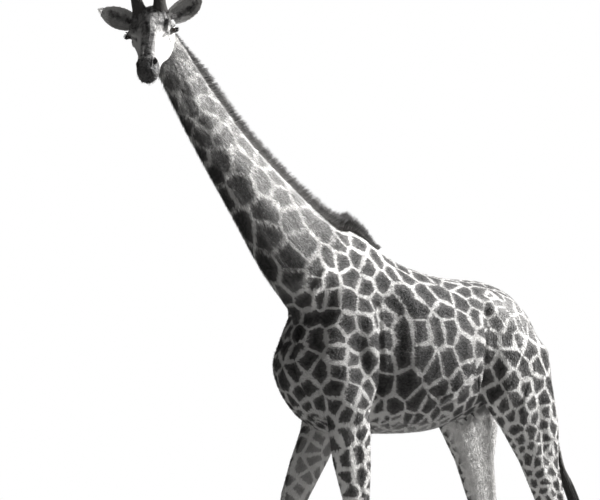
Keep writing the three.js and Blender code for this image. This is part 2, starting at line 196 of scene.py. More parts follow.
def piece_from(name, points, triangles):
    """A new object from an array of points and an array of triangles."""
    mesh = bpy.data.meshes.new(name)
    count = len(triangles)
    mesh.vertices.add(len(points))
    mesh.vertices.foreach_set("co", np.asarray(points, float).ravel())
    mesh.loops.add(count * 3)
    mesh.loops.foreach_set("vertex_index", np.asarray(triangles, np.int32).ravel())
    mesh.polygons.add(count)
    mesh.polygons.foreach_set("loop_start", np.arange(count, dtype=np.int32) * 3)
    mesh.polygons.foreach_set("use_smooth", np.ones(count, bool))
    mesh.update(calc_edges=True)
    mesh.validate()
    return placed(name, mesh)


def store(mesh, name, values, domain="POINT"):
    """Keeps a number, or a row of three, for each of a mesh's points or corners."""
    kind, field = ("FLOAT", "value") if np.ndim(values) == 1 else ("FLOAT_VECTOR", "vector")
    data = mesh.attributes.new(name, kind, domain).data
    data.foreach_set(field, np.asarray(values, np.float32).ravel())


class Net:
    """A mesh's edges, for averaging values over neighbours."""

    def __init__(self, mesh):
        edges = edges_of(mesh)
        self.a = np.concatenate([edges[:, 0], edges[:, 1]])
        self.b = np.concatenate([edges[:, 1], edges[:, 0]])
        self.count = len(mesh.vertices)
        order = np.argsort(self.a, kind="stable")
        self.b = self.b[order]
        degree = np.bincount(self.a, minlength=self.count)
        self.starts = np.concatenate([[0], np.cumsum(degree)[:-1]])
        self.degree = np.maximum(degree, 1)[:, None]

    def average(self, values):
        return np.add.reduceat(values[self.b], self.starts, axis=0) / self.degree

    def soften(self, values, share, passes):
        """Each pass moves a value by its share towards the mean of its neighbours."""
        for _ in range(passes):
            values = values + share * (self.average(values) - values)
        return values


def ramp(value, low, high):
    """0 below low, 1 above high, smooth between. Works on arrays."""
    t = np.clip((np.asarray(value, float) - low) / (high - low), 0, 1)
    return t * t * (3 - 2 * t)


def curve_through(points, count):
    """Points along a smooth curve through the given ones."""
    p = np.asarray(points, float)
    if len(p) < 3:
        t = np.linspace(0, 1, count)[:, None]
        return p[0] + (p[-1] - p[0]) * t
    padded = np.vstack([2 * p[0] - p[1], p, 2 * p[-1] - p[-2]])
    t = np.linspace(0, len(p) - 1 - 1e-9, count)
    i = t.astype(int)
    f = (t - i)[:, None]
    a, b, c, d = padded[i], padded[i + 1], padded[i + 2], padded[i + 3]
    return 0.5 * (2 * b + (c - a) * f + (2 * a - 5 * b + 4 * c - d) * f**2
                  + (3 * b - a - 3 * c + d) * f**3)


def nearest_on_line(points, line):
    """For each point: distance along the line, the line's nearest point and its direction."""
    best = np.full(len(points), 1e9)
    along = np.zeros(len(points))
    foot = np.zeros((len(points), 3))
    heading = np.zeros((len(points), 3))
    run = 0.0
    for a, b in zip(line[:-1], line[1:]):
        step = b - a
        length = np.linalg.norm(step)
        step = step / length
        t = np.clip((points - a) @ step, 0, length)
        near = a + t[:, None] * step
        gap = np.linalg.norm(points - near, axis=1)
        closer = gap < best
        best[closer] = gap[closer]
        along[closer] = run + t[closer]
        foot[closer] = near[closer]
        heading[closer] = step
        run += length
    return along, foot, heading


# ------------------------------------------------------------------ the first skin
def flesh_shell(names, swell):
    """Copies of CAD nodes, swollen a little so that they meet, and which node each face is of."""
    all_points, all_triangles, owner = [], [], []
    base = 0
    for number, name in enumerate(names):
        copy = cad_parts[name].data.copy()
        obj = placed("copy", copy)
        edit(obj, lambda: bpy.ops.mesh.remove_doubles(threshold=1e-5),
             bpy.ops.mesh.quads_convert_to_tris)
        points = points_of(copy) + normals_of(copy) * swell.get(name, 0.001)
        all_points.append(points)
        all_triangles.append(triangles_of(copy) + base)
        owner += [number] * len(copy.polygons)
        base += len(points)
        bpy.data.objects.remove(obj)
        bpy.data.meshes.remove(copy)
    return np.vstack(all_points), np.vstack(all_triangles), np.array(owner)


def voxel_skin():
    """One closed skin round all the flesh. The ears are thickened for it, and the eyes fill
    their sockets."""
    names = FLESH + ["eye_left", "eye_right"]
    points, triangles, owner = flesh_shell(names, {"ear_left": 0.003, "ear_right": 0.003})
    owner[owner >= len(FLESH)] = HEAD
    tree = BVHTree.FromPolygons(points.tolist(), triangles.tolist())
    skin = piece_from("skin", points, triangles)
    remesh(skin, VOXEL)
    return skin, tree, owner


def region_shares(points, tree, owner, net):
    """How much each point belongs to each node of flesh, blended over the joins."""
    nearest = np.array([owner[tree.find_nearest(p)[2]] for p in points.tolist()])
    shares = np.zeros((len(points), len(FLESH)))
    shares[np.arange(len(points)), nearest] = 1
    return net.soften(shares, 0.9, 12)


SOFTNESS = {"trunk": 1.0, "neck": 0.55, "head": 0.035, "tail": 0.03, "ear_left": 0.02,
            "ear_right": 0.02}  # the rest are legs


def rounded(points, shares, net):
    """Rounds off the facets without thinning the body: what softening takes is given back."""
    share = sum(shares[:, i] * SOFTNESS.get(name, 0.12) for i, name in enumerate(FLESH))
    share = (0.9 * share)[:, None]
    passes = 60
    once = net.soften(points, share, passes)
    twice = once + net.soften(points - once, share, passes)
    return twice + net.soften(points - twice, share, passes)


def share_of(shares, *names):
    """How much each point belongs to any of these nodes."""
    return sum(shares[:, FLESH.index(name)] for name in names)


def refine(obj, wanted):
    """Cuts each face whose points are all wanted into four."""
    mesh = obj.data
    activate(obj)
    bpy.ops.object.mode_set(mode="EDIT")
    bpy.ops.mesh.select_all(action="DESELECT")
    bpy.ops.object.mode_set(mode="OBJECT")
    corners = read(mesh.loops, "vertex_index", 1, np.int32).ravel()
    starts = read(mesh.polygons, "loop_start", 1, np.int32).ravel()
    chosen = np.minimum.reduceat(wanted[corners].astype(int), starts) > 0
    mesh.polygons.foreach_set("select", chosen)
    mesh.edges.foreach_set("select", wanted[edges_of(mesh)].all(axis=1))
    mesh.vertices.foreach_set("select", wanted)
    bpy.ops.object.mode_set(mode="EDIT")
    bpy.ops.mesh.select_mode(type="FACE")
    bpy.ops.mesh.subdivide(number_cuts=1)
    bpy.ops.object.mode_set(mode="OBJECT")


def near_any(points, centres, reach):
    """Which points lie within reach of any of the centres."""
    near = np.zeros(len(points), bool)
    for centre in centres:
        near |= np.linalg.norm(points - np.asarray(centre), axis=1) < reach
    return near


def head_zones(points):
    """The eyes, nostrils and lips, where the skin's folds are finest."""
    eyes = near_any(points, [of_head(EYE_AT, side) for side in (LEFT, RIGHT)], 0.060)
    local = head_frame(points)
    inside = np.abs(points - HEAD_AT).max(axis=1) < 0.6
    return eyes | (inside & (local[:, 1] < -285) & (np.abs(local[:, 0]) < 90))


skin, shell_tree, shell_owner = voxel_skin()
net = Net(skin.data)
shares = region_shares(points_of(skin.data), shell_tree, shell_owner, net)
set_points(skin.data, rounded(points_of(skin.data), shares, net))
fine = (share_of(shares, "head", *EARS) > 0.3) | (share_of(shares, *LEGS) > 0.5) & (
    points_of(skin.data)[:, 2] < 0.30)
folds = [(0.15, 0.66, 2.1), (0.20, 0.62, 2.25), (-0.28, 0.66, 2.1), (-0.33, 0.62, 2.25),
         (-0.19, -0.15, 1.70), (0.10, 0.10, 1.80), (-0.02, 0.72, 1.82), (-0.11, 0.72, 1.82)]
fine |= near_any(points_of(skin.data), folds, 0.13)
refine(skin, fine)
refine(skin, head_zones(points_of(skin.data)))
net = Net(skin.data)
shares = region_shares(points_of(skin.data), shell_tree, shell_owner, net)
set_points(skin.data, net.soften(points_of(skin.data), 0.5, 2))


# ------------------------------------------------------------------ modelling the skin
def unit(vectors):
    return vectors / np.maximum(np.linalg.norm(vectors, axis=1), 1e-6)[:, None]


class Clay:
    """The skin as clay: strokes raise or sink it along a path on its surface."""

    def __init__(self, mesh):
        self.mesh = mesh
        self.points = points_of(mesh)
        self.refresh()

    def refresh(self):
        set_points(self.mesh, self.points)
        self.normals = normals_of(self.mesh)
        faces = [tuple(p.vertices) for p in self.mesh.polygons]
        self.tree = BVHTree.FromPolygons(self.points.tolist(), faces)

    def touch(self, point):
        """The nearest place on the skin."""
        return np.array(self.tree.find_nearest(Vector(point))[0])

    def on(self, line, place, angle):
        """A place on the skin beside a middle line. place counts its joints, and angle goes
        from the front (legs) or top (neck, trunk) round by the outer or left side."""
        middle, run = joint_at(line, place)
        turn = math.radians(angle)
        if line.startswith("leg"):
            outer = 1 if line.endswith("left") else -1
            way = Vector((outer * math.sin(turn), -math.cos(turn), 0))
        else:
            way = Vector((math.sin(turn), 0, 0)) + upward(run).normalized() * math.cos(turn)
        hit = self.tree.ray_cast(Vector(middle), way)
        return np.array(hit[0]) if hit[0] else np.array(middle)

    def reach(self, path, width):
        """Points within a width of the path and on its side of the skin, with 1 on the path
        falling to 0 at the width."""
        path = np.array([self.touch(p) for p in path])
        way = np.array([self.tree.find_nearest(Vector(p))[1] for p in path])
        low, high = path.min(axis=0) - width, path.max(axis=0) + width
        inside = np.where(((self.points > low) & (self.points < high)).all(axis=1))[0]
        best = np.full(len(inside), 1e9)
        nearest = np.zeros(len(inside), int)
        for i, p in enumerate(path):
            gap = ((self.points[inside] - p) ** 2).sum(axis=1)
            closer = gap < best
            best[closer] = gap[closer]
            nearest[closer] = i
        facing = (self.normals[inside] * way[nearest]).sum(axis=1)
        fall = np.clip(1 - best / width**2, 0, 1) ** 2 * ramp(facing, -0.1, 0.35)
        return inside, fall

    def stroke(self, path, width, height):
        """width and height in millimetres; a height below 0 is a groove."""
        width, height = width / 1000, height / 1000
        path = np.asarray(path, float)
        length = np.linalg.norm(np.diff(path, axis=0), axis=1).sum() if len(path) > 1 else 0
        count = max(2, int(length / (width * 0.35)) + 2)
        path = curve_through(path, count) if len(path) > 1 else path
        inside, fall = self.reach(path, width)
        self.points[inside] += self.normals[inside] * (height * fall)[:, None]

    def step(self, path, towards, height, width, reach):
        """Raises the skin on one side of a path, steeply along it, fading over the reach."""
        height, width, reach = height / 1000, width / 1000, reach / 1000
        path = np.asarray(path, float)
        length = np.linalg.norm(np.diff(path, axis=0), axis=1).sum()
        path = curve_through(path, max(3, int(length / 0.012)))
        path = np.array([self.touch(p) for p in path])
        way = np.array([self.tree.find_nearest(Vector(p))[1] for p in path])
        low, high = path.min(axis=0) - reach, path.max(axis=0) + reach
        inside = np.where(((self.points > low) & (self.points < high)).all(axis=1))[0]
        apart = self.points[inside][:, None] - path[None]
        gap = np.linalg.norm(apart, axis=2)
        nearest = gap.argmin(axis=1)
        gap = gap[np.arange(len(inside)), nearest]
        run = unit(np.gradient(path, axis=0))
        across = unit(np.cross(run, way))
        across = across * np.sign(across @ np.asarray(towards, float))[:, None]
        over = (apart[np.arange(len(inside)), nearest] * across[nearest]).sum(axis=1)
        ends = np.sin(np.pi * np.clip(nearest / (len(path) - 1), 0.02, 0.98)) ** 0.6
        facing = ramp((self.normals[inside] * way[nearest]).sum(axis=1), -0.1, 0.35)
        rise = ramp(over, -width / 2, width / 2) * np.clip(1 - (gap / reach) ** 2, 0, 1) ** 2
        self.points[inside] += self.normals[inside] * (height * rise * ends * facing)[:, None]

    def fold(self, path, width, depth):
        """A crease with soft lips."""
        self.stroke(path, width * 2.6, depth * 0.45)
        self.stroke(path, width, -depth * 1.45)


clay = Clay(skin.data)


def body(x, y, z, side=LEFT):
    """A place on the body from the middle plane (x, outwards), in metres."""
    return np.array([side * x + MIDDLE_X, y + MIDDLE_Y, z])


def pair(work, path, *sizes):
    """The same work on the left side of the body and then on the right."""
    for side in (LEFT, RIGHT):
        work([body(*p, side) for p in path], *sizes)


def ledge(path, towards, height, width, reach, foot, groove_width, depth):
    """A step with a groove along its foot, on both sides of the body."""
    for side in (LEFT, RIGHT):
        edge = [body(*p, side) for p in path]
        clay.step(edge, towards, height, width, reach)
        clay.stroke([p + np.array(foot) for p in edge], groove_width, depth)


def model_trunk():
    # The shoulder stands proud of the breast, with a deep crease between them.
    crease = ((0.055, -0.62, 2.34), (0.078, -0.645, 2.25), (0.073, -0.68, 2.17),
              (0.082, -0.695, 2.10), (0.094, -0.685, 2.02), (0.096, -0.63, 1.92),
              (0.075, -0.56, 1.82), (0.055, -0.50, 1.76))
    behind = [(x + 0.055, y + 0.03, z) for x, y, z in crease]
    breast = [(x - 0.040, y - 0.01, z) for x, y, z in crease[1:6]]
    pair(clay.stroke, behind, 75, 11)
    pair(clay.stroke, breast, 42, 6)
    ledge(crease, (0, 0.6, 0), 19, 12, 95, (0, -0.014, 0), 26, -9)
    ledge(((0.165, -0.56, 2.62), (0.148, -0.589, 2.559), (0.115, -0.630, 2.451),
          (0.060, -0.640, 2.35)), (0, 0.6, -0.5), 10, 18, 100, (0, 0, 0), 30, -6)
    middle = [body(0, y, z) for y, z in ((-0.70, 2.26), (-0.72, 2.12), (-0.70, 1.98),
                                         (-0.64, 1.86), (-0.55, 1.79))]
    clay.fold(middle, 18, 6)
    # The upper arm and the thigh swell between their creases.
    pair(clay.stroke, ((0.19, -0.46, 2.45), (0.215, -0.47, 2.30), (0.225, -0.48, 2.15),
         (0.22, -0.47, 2.00), (0.205, -0.46, 1.88)), 135, 16)
    pair(clay.stroke, ((0.24, 0.60, 2.35), (0.27, 0.60, 2.20), (0.285, 0.585, 2.05),
         (0.28, 0.56, 1.92)), 125, 14)
    # Shoulder blade, its spine and the muscles on either side.
    pair(clay.stroke, ((0.07, -0.34, 2.74), (0.15, -0.40, 2.58), (0.20, -0.50, 2.38),
         (0.20, -0.58, 2.22)), 60, 6)
    pair(clay.stroke, ((0.12, -0.27, 2.70), (0.20, -0.28, 2.50), (0.25, -0.30, 2.30)), 85, 6)
    pair(clay.stroke, ((0.10, -0.50, 2.62), (0.13, -0.57, 2.44), (0.13, -0.62, 2.30)), 34, -5)
    # Back edge of the upper arm, down to the elbow and across to the belly.
    arm = ((0.22, -0.27, 2.40), (0.245, -0.28, 2.31), (0.262, -0.285, 2.215),
           (0.268, -0.285, 2.13), (0.250, -0.280, 2.04), (0.235, -0.279, 1.95),
           (0.240, -0.330, 1.87), (0.250, -0.375, 1.83))
    pair(clay.stroke, [(x, y - 0.055, z) for x, y, z in arm[1:6]], 60, 9)
    ledge(arm, (0, -1, 0), 24, 14, 150, (0, 0.018, 0), 30, -14)
    pair(clay.fold, ((0.19, -0.30, 1.86), (0.16, -0.22, 1.80), (0.15, -0.15, 1.785),
         (0.175, -0.09, 1.81)), 14, 6)
    pair(clay.fold, ((0.17, -0.27, 1.90), (0.18, -0.20, 1.86), (0.20, -0.12, 1.85)), 10, 3)
    # Ribs, the hollow of the flank, hip bones and the ridge of the back.
    for i in range(6):
        y = -0.12 + 0.075 * i
        pair(clay.stroke, ((0.28, y, 2.40), (0.31, y + 0.005, 2.25), (0.30, y - 0.03, 2.05),
             (0.27, y - 0.08, 1.92)), 30, 2.2)
    pair(clay.stroke, ((0.25, 0.30, 2.40), (0.27, 0.34, 2.30)), 110, -9)
    # The barrel swells between a hollow behind the shoulder and one before the thigh.
    pair(clay.stroke, ((0.24, -0.205, 2.40), (0.27, -0.215, 2.25), (0.28, -0.215, 2.10),
         (0.26, -0.225, 1.96)), 165, -34)
    pair(clay.stroke, ((0.25, 0.10, 2.35), (0.29, 0.12, 2.18), (0.28, 0.10, 2.02)), 260, 9)
    pair(clay.stroke, ((0.25, 0.435, 2.33), (0.27, 0.430, 2.18), (0.26, 0.435, 2.03),
         (0.24, 0.45, 1.92)), 95, -24)
    pair(clay.stroke, ((0.205, 0.46, 2.44),), 85, 13)
    pair(clay.stroke, ((0.15, 0.44, 2.50), (0.10, 0.30, 2.545)), 45, 5)
    pair(clay.stroke, ((0.10, 0.62, 2.50), (0.09, 0.76, 2.43)), 60, -7)
    clay.stroke([body(0, y, z) for y, z in ((-0.05, 2.67), (0.15, 2.6), (0.4, 2.57),
                                            (0.62, 2.54), (0.8, 2.44))], 48, 5)
    # The fold of skin from the flank to the stifle, doubled, and the rounded edge of the belly.
    fold_a = ((0.215, 0.42, 2.40), (0.26, 0.392, 2.28), (0.276, 0.38, 2.19), (0.283, 0.36, 2.11),
              (0.272, 0.352, 2.03), (0.245, 0.37, 1.96), (0.20, 0.42, 1.90))
    fold_b = ((0.25, 0.455, 2.31), (0.266, 0.435, 2.22), (0.275, 0.398, 2.10), (0.24, 0.41, 1.99),
              (0.21, 0.45, 1.89), (0.18, 0.53, 1.79))
    ridge = ((0.205, 0.43, 2.42), (0.230, 0.411, 2.345), (0.257, 0.394, 2.253),
             (0.284, 0.357, 2.162), (0.294, 0.296, 2.076), (0.292, 0.218, 2.001),
             (0.280, 0.162, 1.949), (0.262, 0.06, 1.92))
    ledge(ridge, (0, -0.8, 0.6), 32, 16, 125, (0, 0.020, -0.010), 34, -17)
    pair(clay.stroke, ((0.263, 0.405, 2.25), (0.272, 0.41, 2.12), (0.241, 0.425, 1.988),
         (0.250, 0.446, 1.908)), 38, -26)
    pair(clay.step, ((0.262, 0.74, 2.12), (0.275, 0.705, 2.059), (0.284, 0.657, 1.989),
         (0.288, 0.626, 1.919), (0.278, 0.620, 1.855), (0.26, 0.60, 1.80)), (0, 1, 0), 14, 16, 95)
    pair(clay.fold, fold_a, 12, 5)
    pair(clay.fold, fold_b, 12, 5)
    edge = ((0.283, 0.33, 2.08), (0.281, 0.272, 2.01), (0.270, 0.202, 1.95), (0.261, 0.12, 1.925),
            (0.26, 0.02, 1.92))
    pair(clay.stroke, edge, 62, 8)
    pair(clay.stroke, [(x - 0.03, y + 0.025, z - 0.05) for x, y, z in edge], 46, -9)
    # The udder, with two teats to each side.
    pair(clay.stroke, ((0.04, 0.40, 1.84), (0.045, 0.52, 1.86)), 95, 20)
    clay.refresh()
    for y in (0.43, 0.50):
        pair(clay.stroke, ((0.045, y, 1.80),), 17, 30)


def model_legs():
    """Muscles, joints and tendons, each set by its place along the leg, counted in joints,
    and its angle from the front."""
    for name in LEGS:
        def on(place, angle):
            return clay.on(name, place, angle)

        fore = "fore" in name
        if fore:
            clay.stroke([on(1.0, 40), on(1.25, 45), on(1.5, 40)], 62, 8)
            clay.stroke([on(1.05, 100), on(1.35, 100), on(1.75, 95)], 26, -5)
            clay.stroke([on(0.95, 178), on(1.08, 175)], 52, 9)
            clay.stroke([on(1.1, -90), on(1.5, -90)], 60, 5)
            clay.stroke([on(1.15, -20), on(1.6, -15)], 24, -4)
            for angle, width, height in ((0, 44, 6), (62, 30, 5), (-62, 30, 5), (180, 30, 7)):
                clay.stroke([on(2.0, angle)], width, height)
            clay.stroke([on(1.86, 30), on(1.86, -30)], 22, -3)
            clay.stroke([on(2.12, 150), on(2.12, -150)], 26, -4)
            clay.fold([on(2.05, 30), on(2.06, 0), on(2.05, -30)], 7, 2)
        else:
            clay.stroke([on(0.2, 35), on(0.6, 30), on(0.95, 20)], 120, 10)
            clay.stroke([on(0.98, 10)], 62, 11)
            clay.fold([on(1.06, 60), on(1.10, 30), on(1.12, 5)], 14, 4)
            clay.stroke([on(0.3, 140), on(0.8, 138), on(1.1, 135), on(1.35, 128)], 40, -7)
            clay.stroke([on(0.4, 165), on(0.9, 160), on(1.2, 158)], 70, 8)
            clay.stroke([on(1.28, 90), on(1.5, 80)], 46, 5)
            for side in (1, -1):
                clay.stroke([on(1.55, 138 * side), on(1.75, 128 * side), on(1.90, 122 * side)],
                            34, -10)
            clay.stroke([on(1.5, 180), on(1.75, 180), on(1.95, 180)], 20, 5)
            clay.stroke([on(1.98, 178)], 34, 8)
            clay.stroke([on(2.0, 80)], 30, 5)
            clay.stroke([on(2.0, -80)], 30, 5)
            clay.fold([on(1.97, 40), on(1.98, 0), on(1.97, -40)], 9, 2.5)
        # Tendons of the cannon, the fetlock and the hollow of the pastern.
        for side in (1, -1):
            clay.stroke([on(2.15, 118 * side), on(2.5, 118 * side), on(2.85, 118 * side)], 15, -4)
            clay.stroke([on(2.98, 138 * side)], 26, 4)
            clay.stroke([on(2.25, 60 * side), on(2.8, 60 * side)], 12, -1.5)
        clay.stroke([on(2.15, 0), on(2.5, 0), on(2.9, 0)], 13, 2.5)
        clay.stroke([on(3.0, 180)], 34, 6)
        clay.stroke([on(3.45, 180)], 30, -5)
        clay.stroke([on(3.5, 0)], 34, 2)
        clay.stroke([on(3.90, angle) for angle in range(0, 361, 45)], 24, 6)
        clay.fold([on(3.3, 60), on(3.32, 0), on(3.3, -60)], 8, 1.6)


def model_neck():
    """Long muscles, the groove of the throat and the folds behind the jaw."""
    for side in (1, -1):
        def along(places, angle):
            return [clay.on("neck", place, angle * side) for place in places]

        clay.stroke(along((0.6, 1.5, 2.5, 3.5, 4.5, 5.4), 138), 34, -5)
        clay.stroke(along((0.8, 1.6, 2.6, 3.6, 4.6, 5.3), 108), 46, 5)
        clay.stroke(along((1.0, 2.0, 3.0, 4.0, 5.0), 80), 34, -3)
        clay.stroke(along((0.5, 1.5, 2.5, 3.5, 4.5, 5.2), 35), 50, 4)
        for place in (0.9, 1.7, 2.5, 3.3, 4.1):
            clay.stroke(along((place, place + 0.2), 88), 52, 3.5)
    clay.stroke([clay.on("neck", place, 180) for place in (0.8, 1.8, 2.8, 3.8, 4.8)], 36, 4)
    for place in (0.45, 0.65, 0.85):
        ring = [clay.on("neck", place, angle) for angle in (125, 155, 180, -155, -125)]
        clay.fold(ring, 11, 2.5)


HEAD_FORMS = (
    # path on the level head's left side, in millimetres, width, height
    (((66, 62, 78), (98, 22, 70), (106, -18, 58), (92, -52, 46)), 22, 10),  # brow
    (((116, 46, 30), (108, 58, 10)), 22, 7),  # behind the eye
    (((100, -44, -22), (116, -4, -26), (112, 34, -20), (104, 84, -4)), 22, 9),  # cheekbone
    (((100, -42, -16), (84, -95, -34), (64, -160, -52)), 17, 5),  # crest of the face
    (((70, -80, 22), (52, -185, 6)), 26, -4),
    (((40, -262, -98), (70, -130, -118), (84, -20, -140), (94, 60, -128), (88, 112, -70)), 20, 4),
    (((100, 20, -82),), 60, 5),  # cheek muscle
    (((98, 112, -40),), 40, 5),  # swelling under the ear
    (((31, -110, 54), (26, -200, 40), (22, -275, 32)), 12, 2.5),  # edge of the nose bone
    (((50, -345, -30), (30, -385, -30)), 26, 3),  # upper lip
    (((78, -60, -34), (66, -120, -62), (62, -170, -80)), 6, 1.8),  # vein
    (((70, -95, -50), (58, -120, -30)), 5, 1.4),
)
HEAD_FOLDS = (
    # path, width, depth: creases round the mouth, nostril and eye
    (((0, -392, -64), (26, -388, -64), (46, -366, -63), (56, -320, -62), (58, -270, -60),
      (56, -238, -64)), 6, 4.5),
    (((60, -238, -52), (62, -228, -64), (60, -232, -78)), 5, 1.6),
    (((64, -222, -48), (67, -212, -64), (64, -216, -82)), 5, 1.2),
    (((24, -286, 30), (40, -280, 22), (53, -286, 6), (60, -304, -10)), 4.5, 1.8),
    (((22, -272, 33), (41, -265, 24), (56, -272, 6), (62, -290, -14)), 4.5, 1.5),
    (((23, -258, 35), (41, -250, 26), (57, -257, 6), (63, -276, -16)), 4.5, 1.2),
    (((84, -52, 4), (98, -34, -8), (112, -4, -14), (112, 26, -8)), 5, 1.8),
    (((78, -58, -6), (94, -40, -20), (110, -6, -26), (110, 28, -20)), 5, 1.4),
    (((70, -66, 30), (80, -56, 24), (90, -48, 20)), 5, 2.0),
    (((88, -34, 56), (104, -8, 60), (108, 22, 56)), 5, 2.2),
    (((80, -36, 66), (98, -10, 72), (102, 24, 68)), 4.5, 1.4),
)


def eye_axes(side):
    """The eye's directions: fore, up and out."""
    out = HEAD_TURN @ np.array([0.93 * side, -0.36, 0.04])
    out /= np.linalg.norm(out)
    fore = HEAD_TURN @ np.array([0, -1, -0.16])
    fore -= out * (fore @ out)
    fore /= np.linalg.norm(fore)
    return fore, np.cross(out, fore) * side, out


def lids(side):
    """Draws the skin over the eyeball, open along an almond between the lids."""
    centre = of_head(EYE_AT, side)
    fore, up, out = eye_axes(side)
    near = np.where(np.linalg.norm(clay.points - centre, axis=1) < 0.060)[0]
    q = clay.points[near] - centre
    radius = np.linalg.norm(q, axis=1)
    a, b, c = (q / radius[:, None] @ way for way in (fore, up, out))
    open_share = np.clip(1 - (a / 0.93) ** 2, 0, 1)
    inside = np.minimum(0.36 * open_share**0.65 - b, b + 0.50 * open_share**0.75)
    inside = np.where(np.abs(a) < 0.93, inside, -0.3)
    lid = EYE_RADIUS + 2.4 + 1.7 * np.exp(-((inside / 0.09) ** 2)) + 0.9 * (b > 0)
    ball = EYE_RADIUS - 6
    open_now = ramp(inside, -0.01, 0.045)
    target = (lid * (1 - open_now) + ball * open_now) / 1000
    hold = ramp(c, 0.10, 0.42) * ramp(-radius, -0.056, -0.040)
    clay.points[near] += q * ((target / radius - 1) * hold)[:, None]


def nostril(side):
    """A comma-shaped opening with a raised rim."""
    centre = of_head((40, -328, 9), side)
    axis = HEAD_TURN @ np.array([4 * side, 49, 15]) / 51.4
    near = np.where(np.linalg.norm(clay.points - centre, axis=1) < 0.06)[0]
    q = clay.points[near] - centre
    normal = clay.normals[near].mean(axis=0)
    normal -= axis * (normal @ axis)
    normal /= np.linalg.norm(normal)
    across = np.cross(axis, normal)
    s, t = q @ axis / 0.026, q @ across / 0.0105
    t = t + 0.35 * s * s - 0.1
    gap = np.sqrt(s * s + t * t)
    facing = ramp(clay.normals[near] @ normal, 0.0, 0.4)
    lift = 0.0035 * np.exp(-(((gap - 1.25) / 0.3) ** 2)) - 0.018 * ramp(-gap, -1.0, -0.35)
    clay.points[near] += normal * (lift * facing)[:, None]


def model_head():
    for side in (LEFT, RIGHT):
        for path, width, height in HEAD_FORMS:
            clay.stroke([of_head(p, side) for p in path], width, height)
        # The forehead rises into the horns.
        clay.stroke([of_head((50, 86, 92), side)], 66, 15)
    clay.stroke([of_head((0, 20, 104)), of_head((0, -40, 96))], 46, 5)
    clay.stroke([of_head((0, -60, -136)), of_head((0, -220, -104))], 30, -7)
    clay.stroke([of_head((0, -352, -86)), of_head((0, -372, -80))], 30, 4)
    clay.refresh()
    for side in (LEFT, RIGHT):
        for path, width, depth in HEAD_FOLDS:
            clay.fold([of_head(p, side) for p in path], width, depth)
        lids(side)
        nostril(side)


def thin_ears():
    """Lays the skin of the ears back on their solids, which the first skin made thicker."""
    for name in EARS:
        points, triangles, _ = flesh_shell([name], {name: -0.0006})
        tree = BVHTree.FromPolygons(points.tolist(), triangles.tolist())
        share = share_of(shares, name)
        for i in np.where(share > 0.02)[0]:
            near = tree.find_nearest(Vector(clay.points[i]))[0]
            hold = float(ramp(share[i], 0.25, 0.8))
            clay.points[i] += (np.array(near) - clay.points[i]) * hold
        soft = ramp(share, 0.5, 0.9)[:, None]
        clay.points = clay.points + soft * (net.soften(clay.points, 0.5, 2) - clay.points)


model_trunk()
clay.refresh()
model_legs()
model_neck()
thin_ears()
clay.refresh()
model_head()
clay.refresh()


# ------------------------------------------------------------------ thinning the skin's mesh
def thin(obj, triangles, keep):
    """Brings the skin under its number of triangles, sparing the points with a high keep."""
    group = obj.vertex_groups.new(name="spare")
    for level in np.unique(keep):
        group.add(np.where(keep == level)[0].tolist(), float(level), "REPLACE")
    edit(obj, bpy.ops.mesh.quads_convert_to_tris)
    modifier = obj.modifiers.new("thin", "DECIMATE")
    modifier.ratio = triangles / len(obj.data.polygons)
    modifier.vertex_group = "spare"
    modifier.invert_vertex_group = True
    modifier.vertex_group_factor = 8
    modifier.use_collapse_triangulate = True
    bpy.ops.object.modifier_apply(modifier=modifier.name)
    obj.vertex_groups.clear()


def keep_levels():
    """How much to spare each point of the skin when it is thinned, most of all on the face."""
    points = clay.points
    keep = np.zeros(len(points))
    keep[share_of(shares, "head", *EARS) > 0.3] = 0.6
    keep[head_zones(points)] = 1.0
    return keep


ears = ramp(share_of(shares, *EARS), 0.3, 0.8)
face = ramp(share_of(shares, "head"), 0.3, 0.9)
depth = COAT_DEPTH * (1 - 0.9 * ears) * (1 - 0.6 * face)
set_points(skin.data, clay.points - clay.normals * depth[:, None])
thin(skin, SKIN_TRIANGLES, keep_levels())


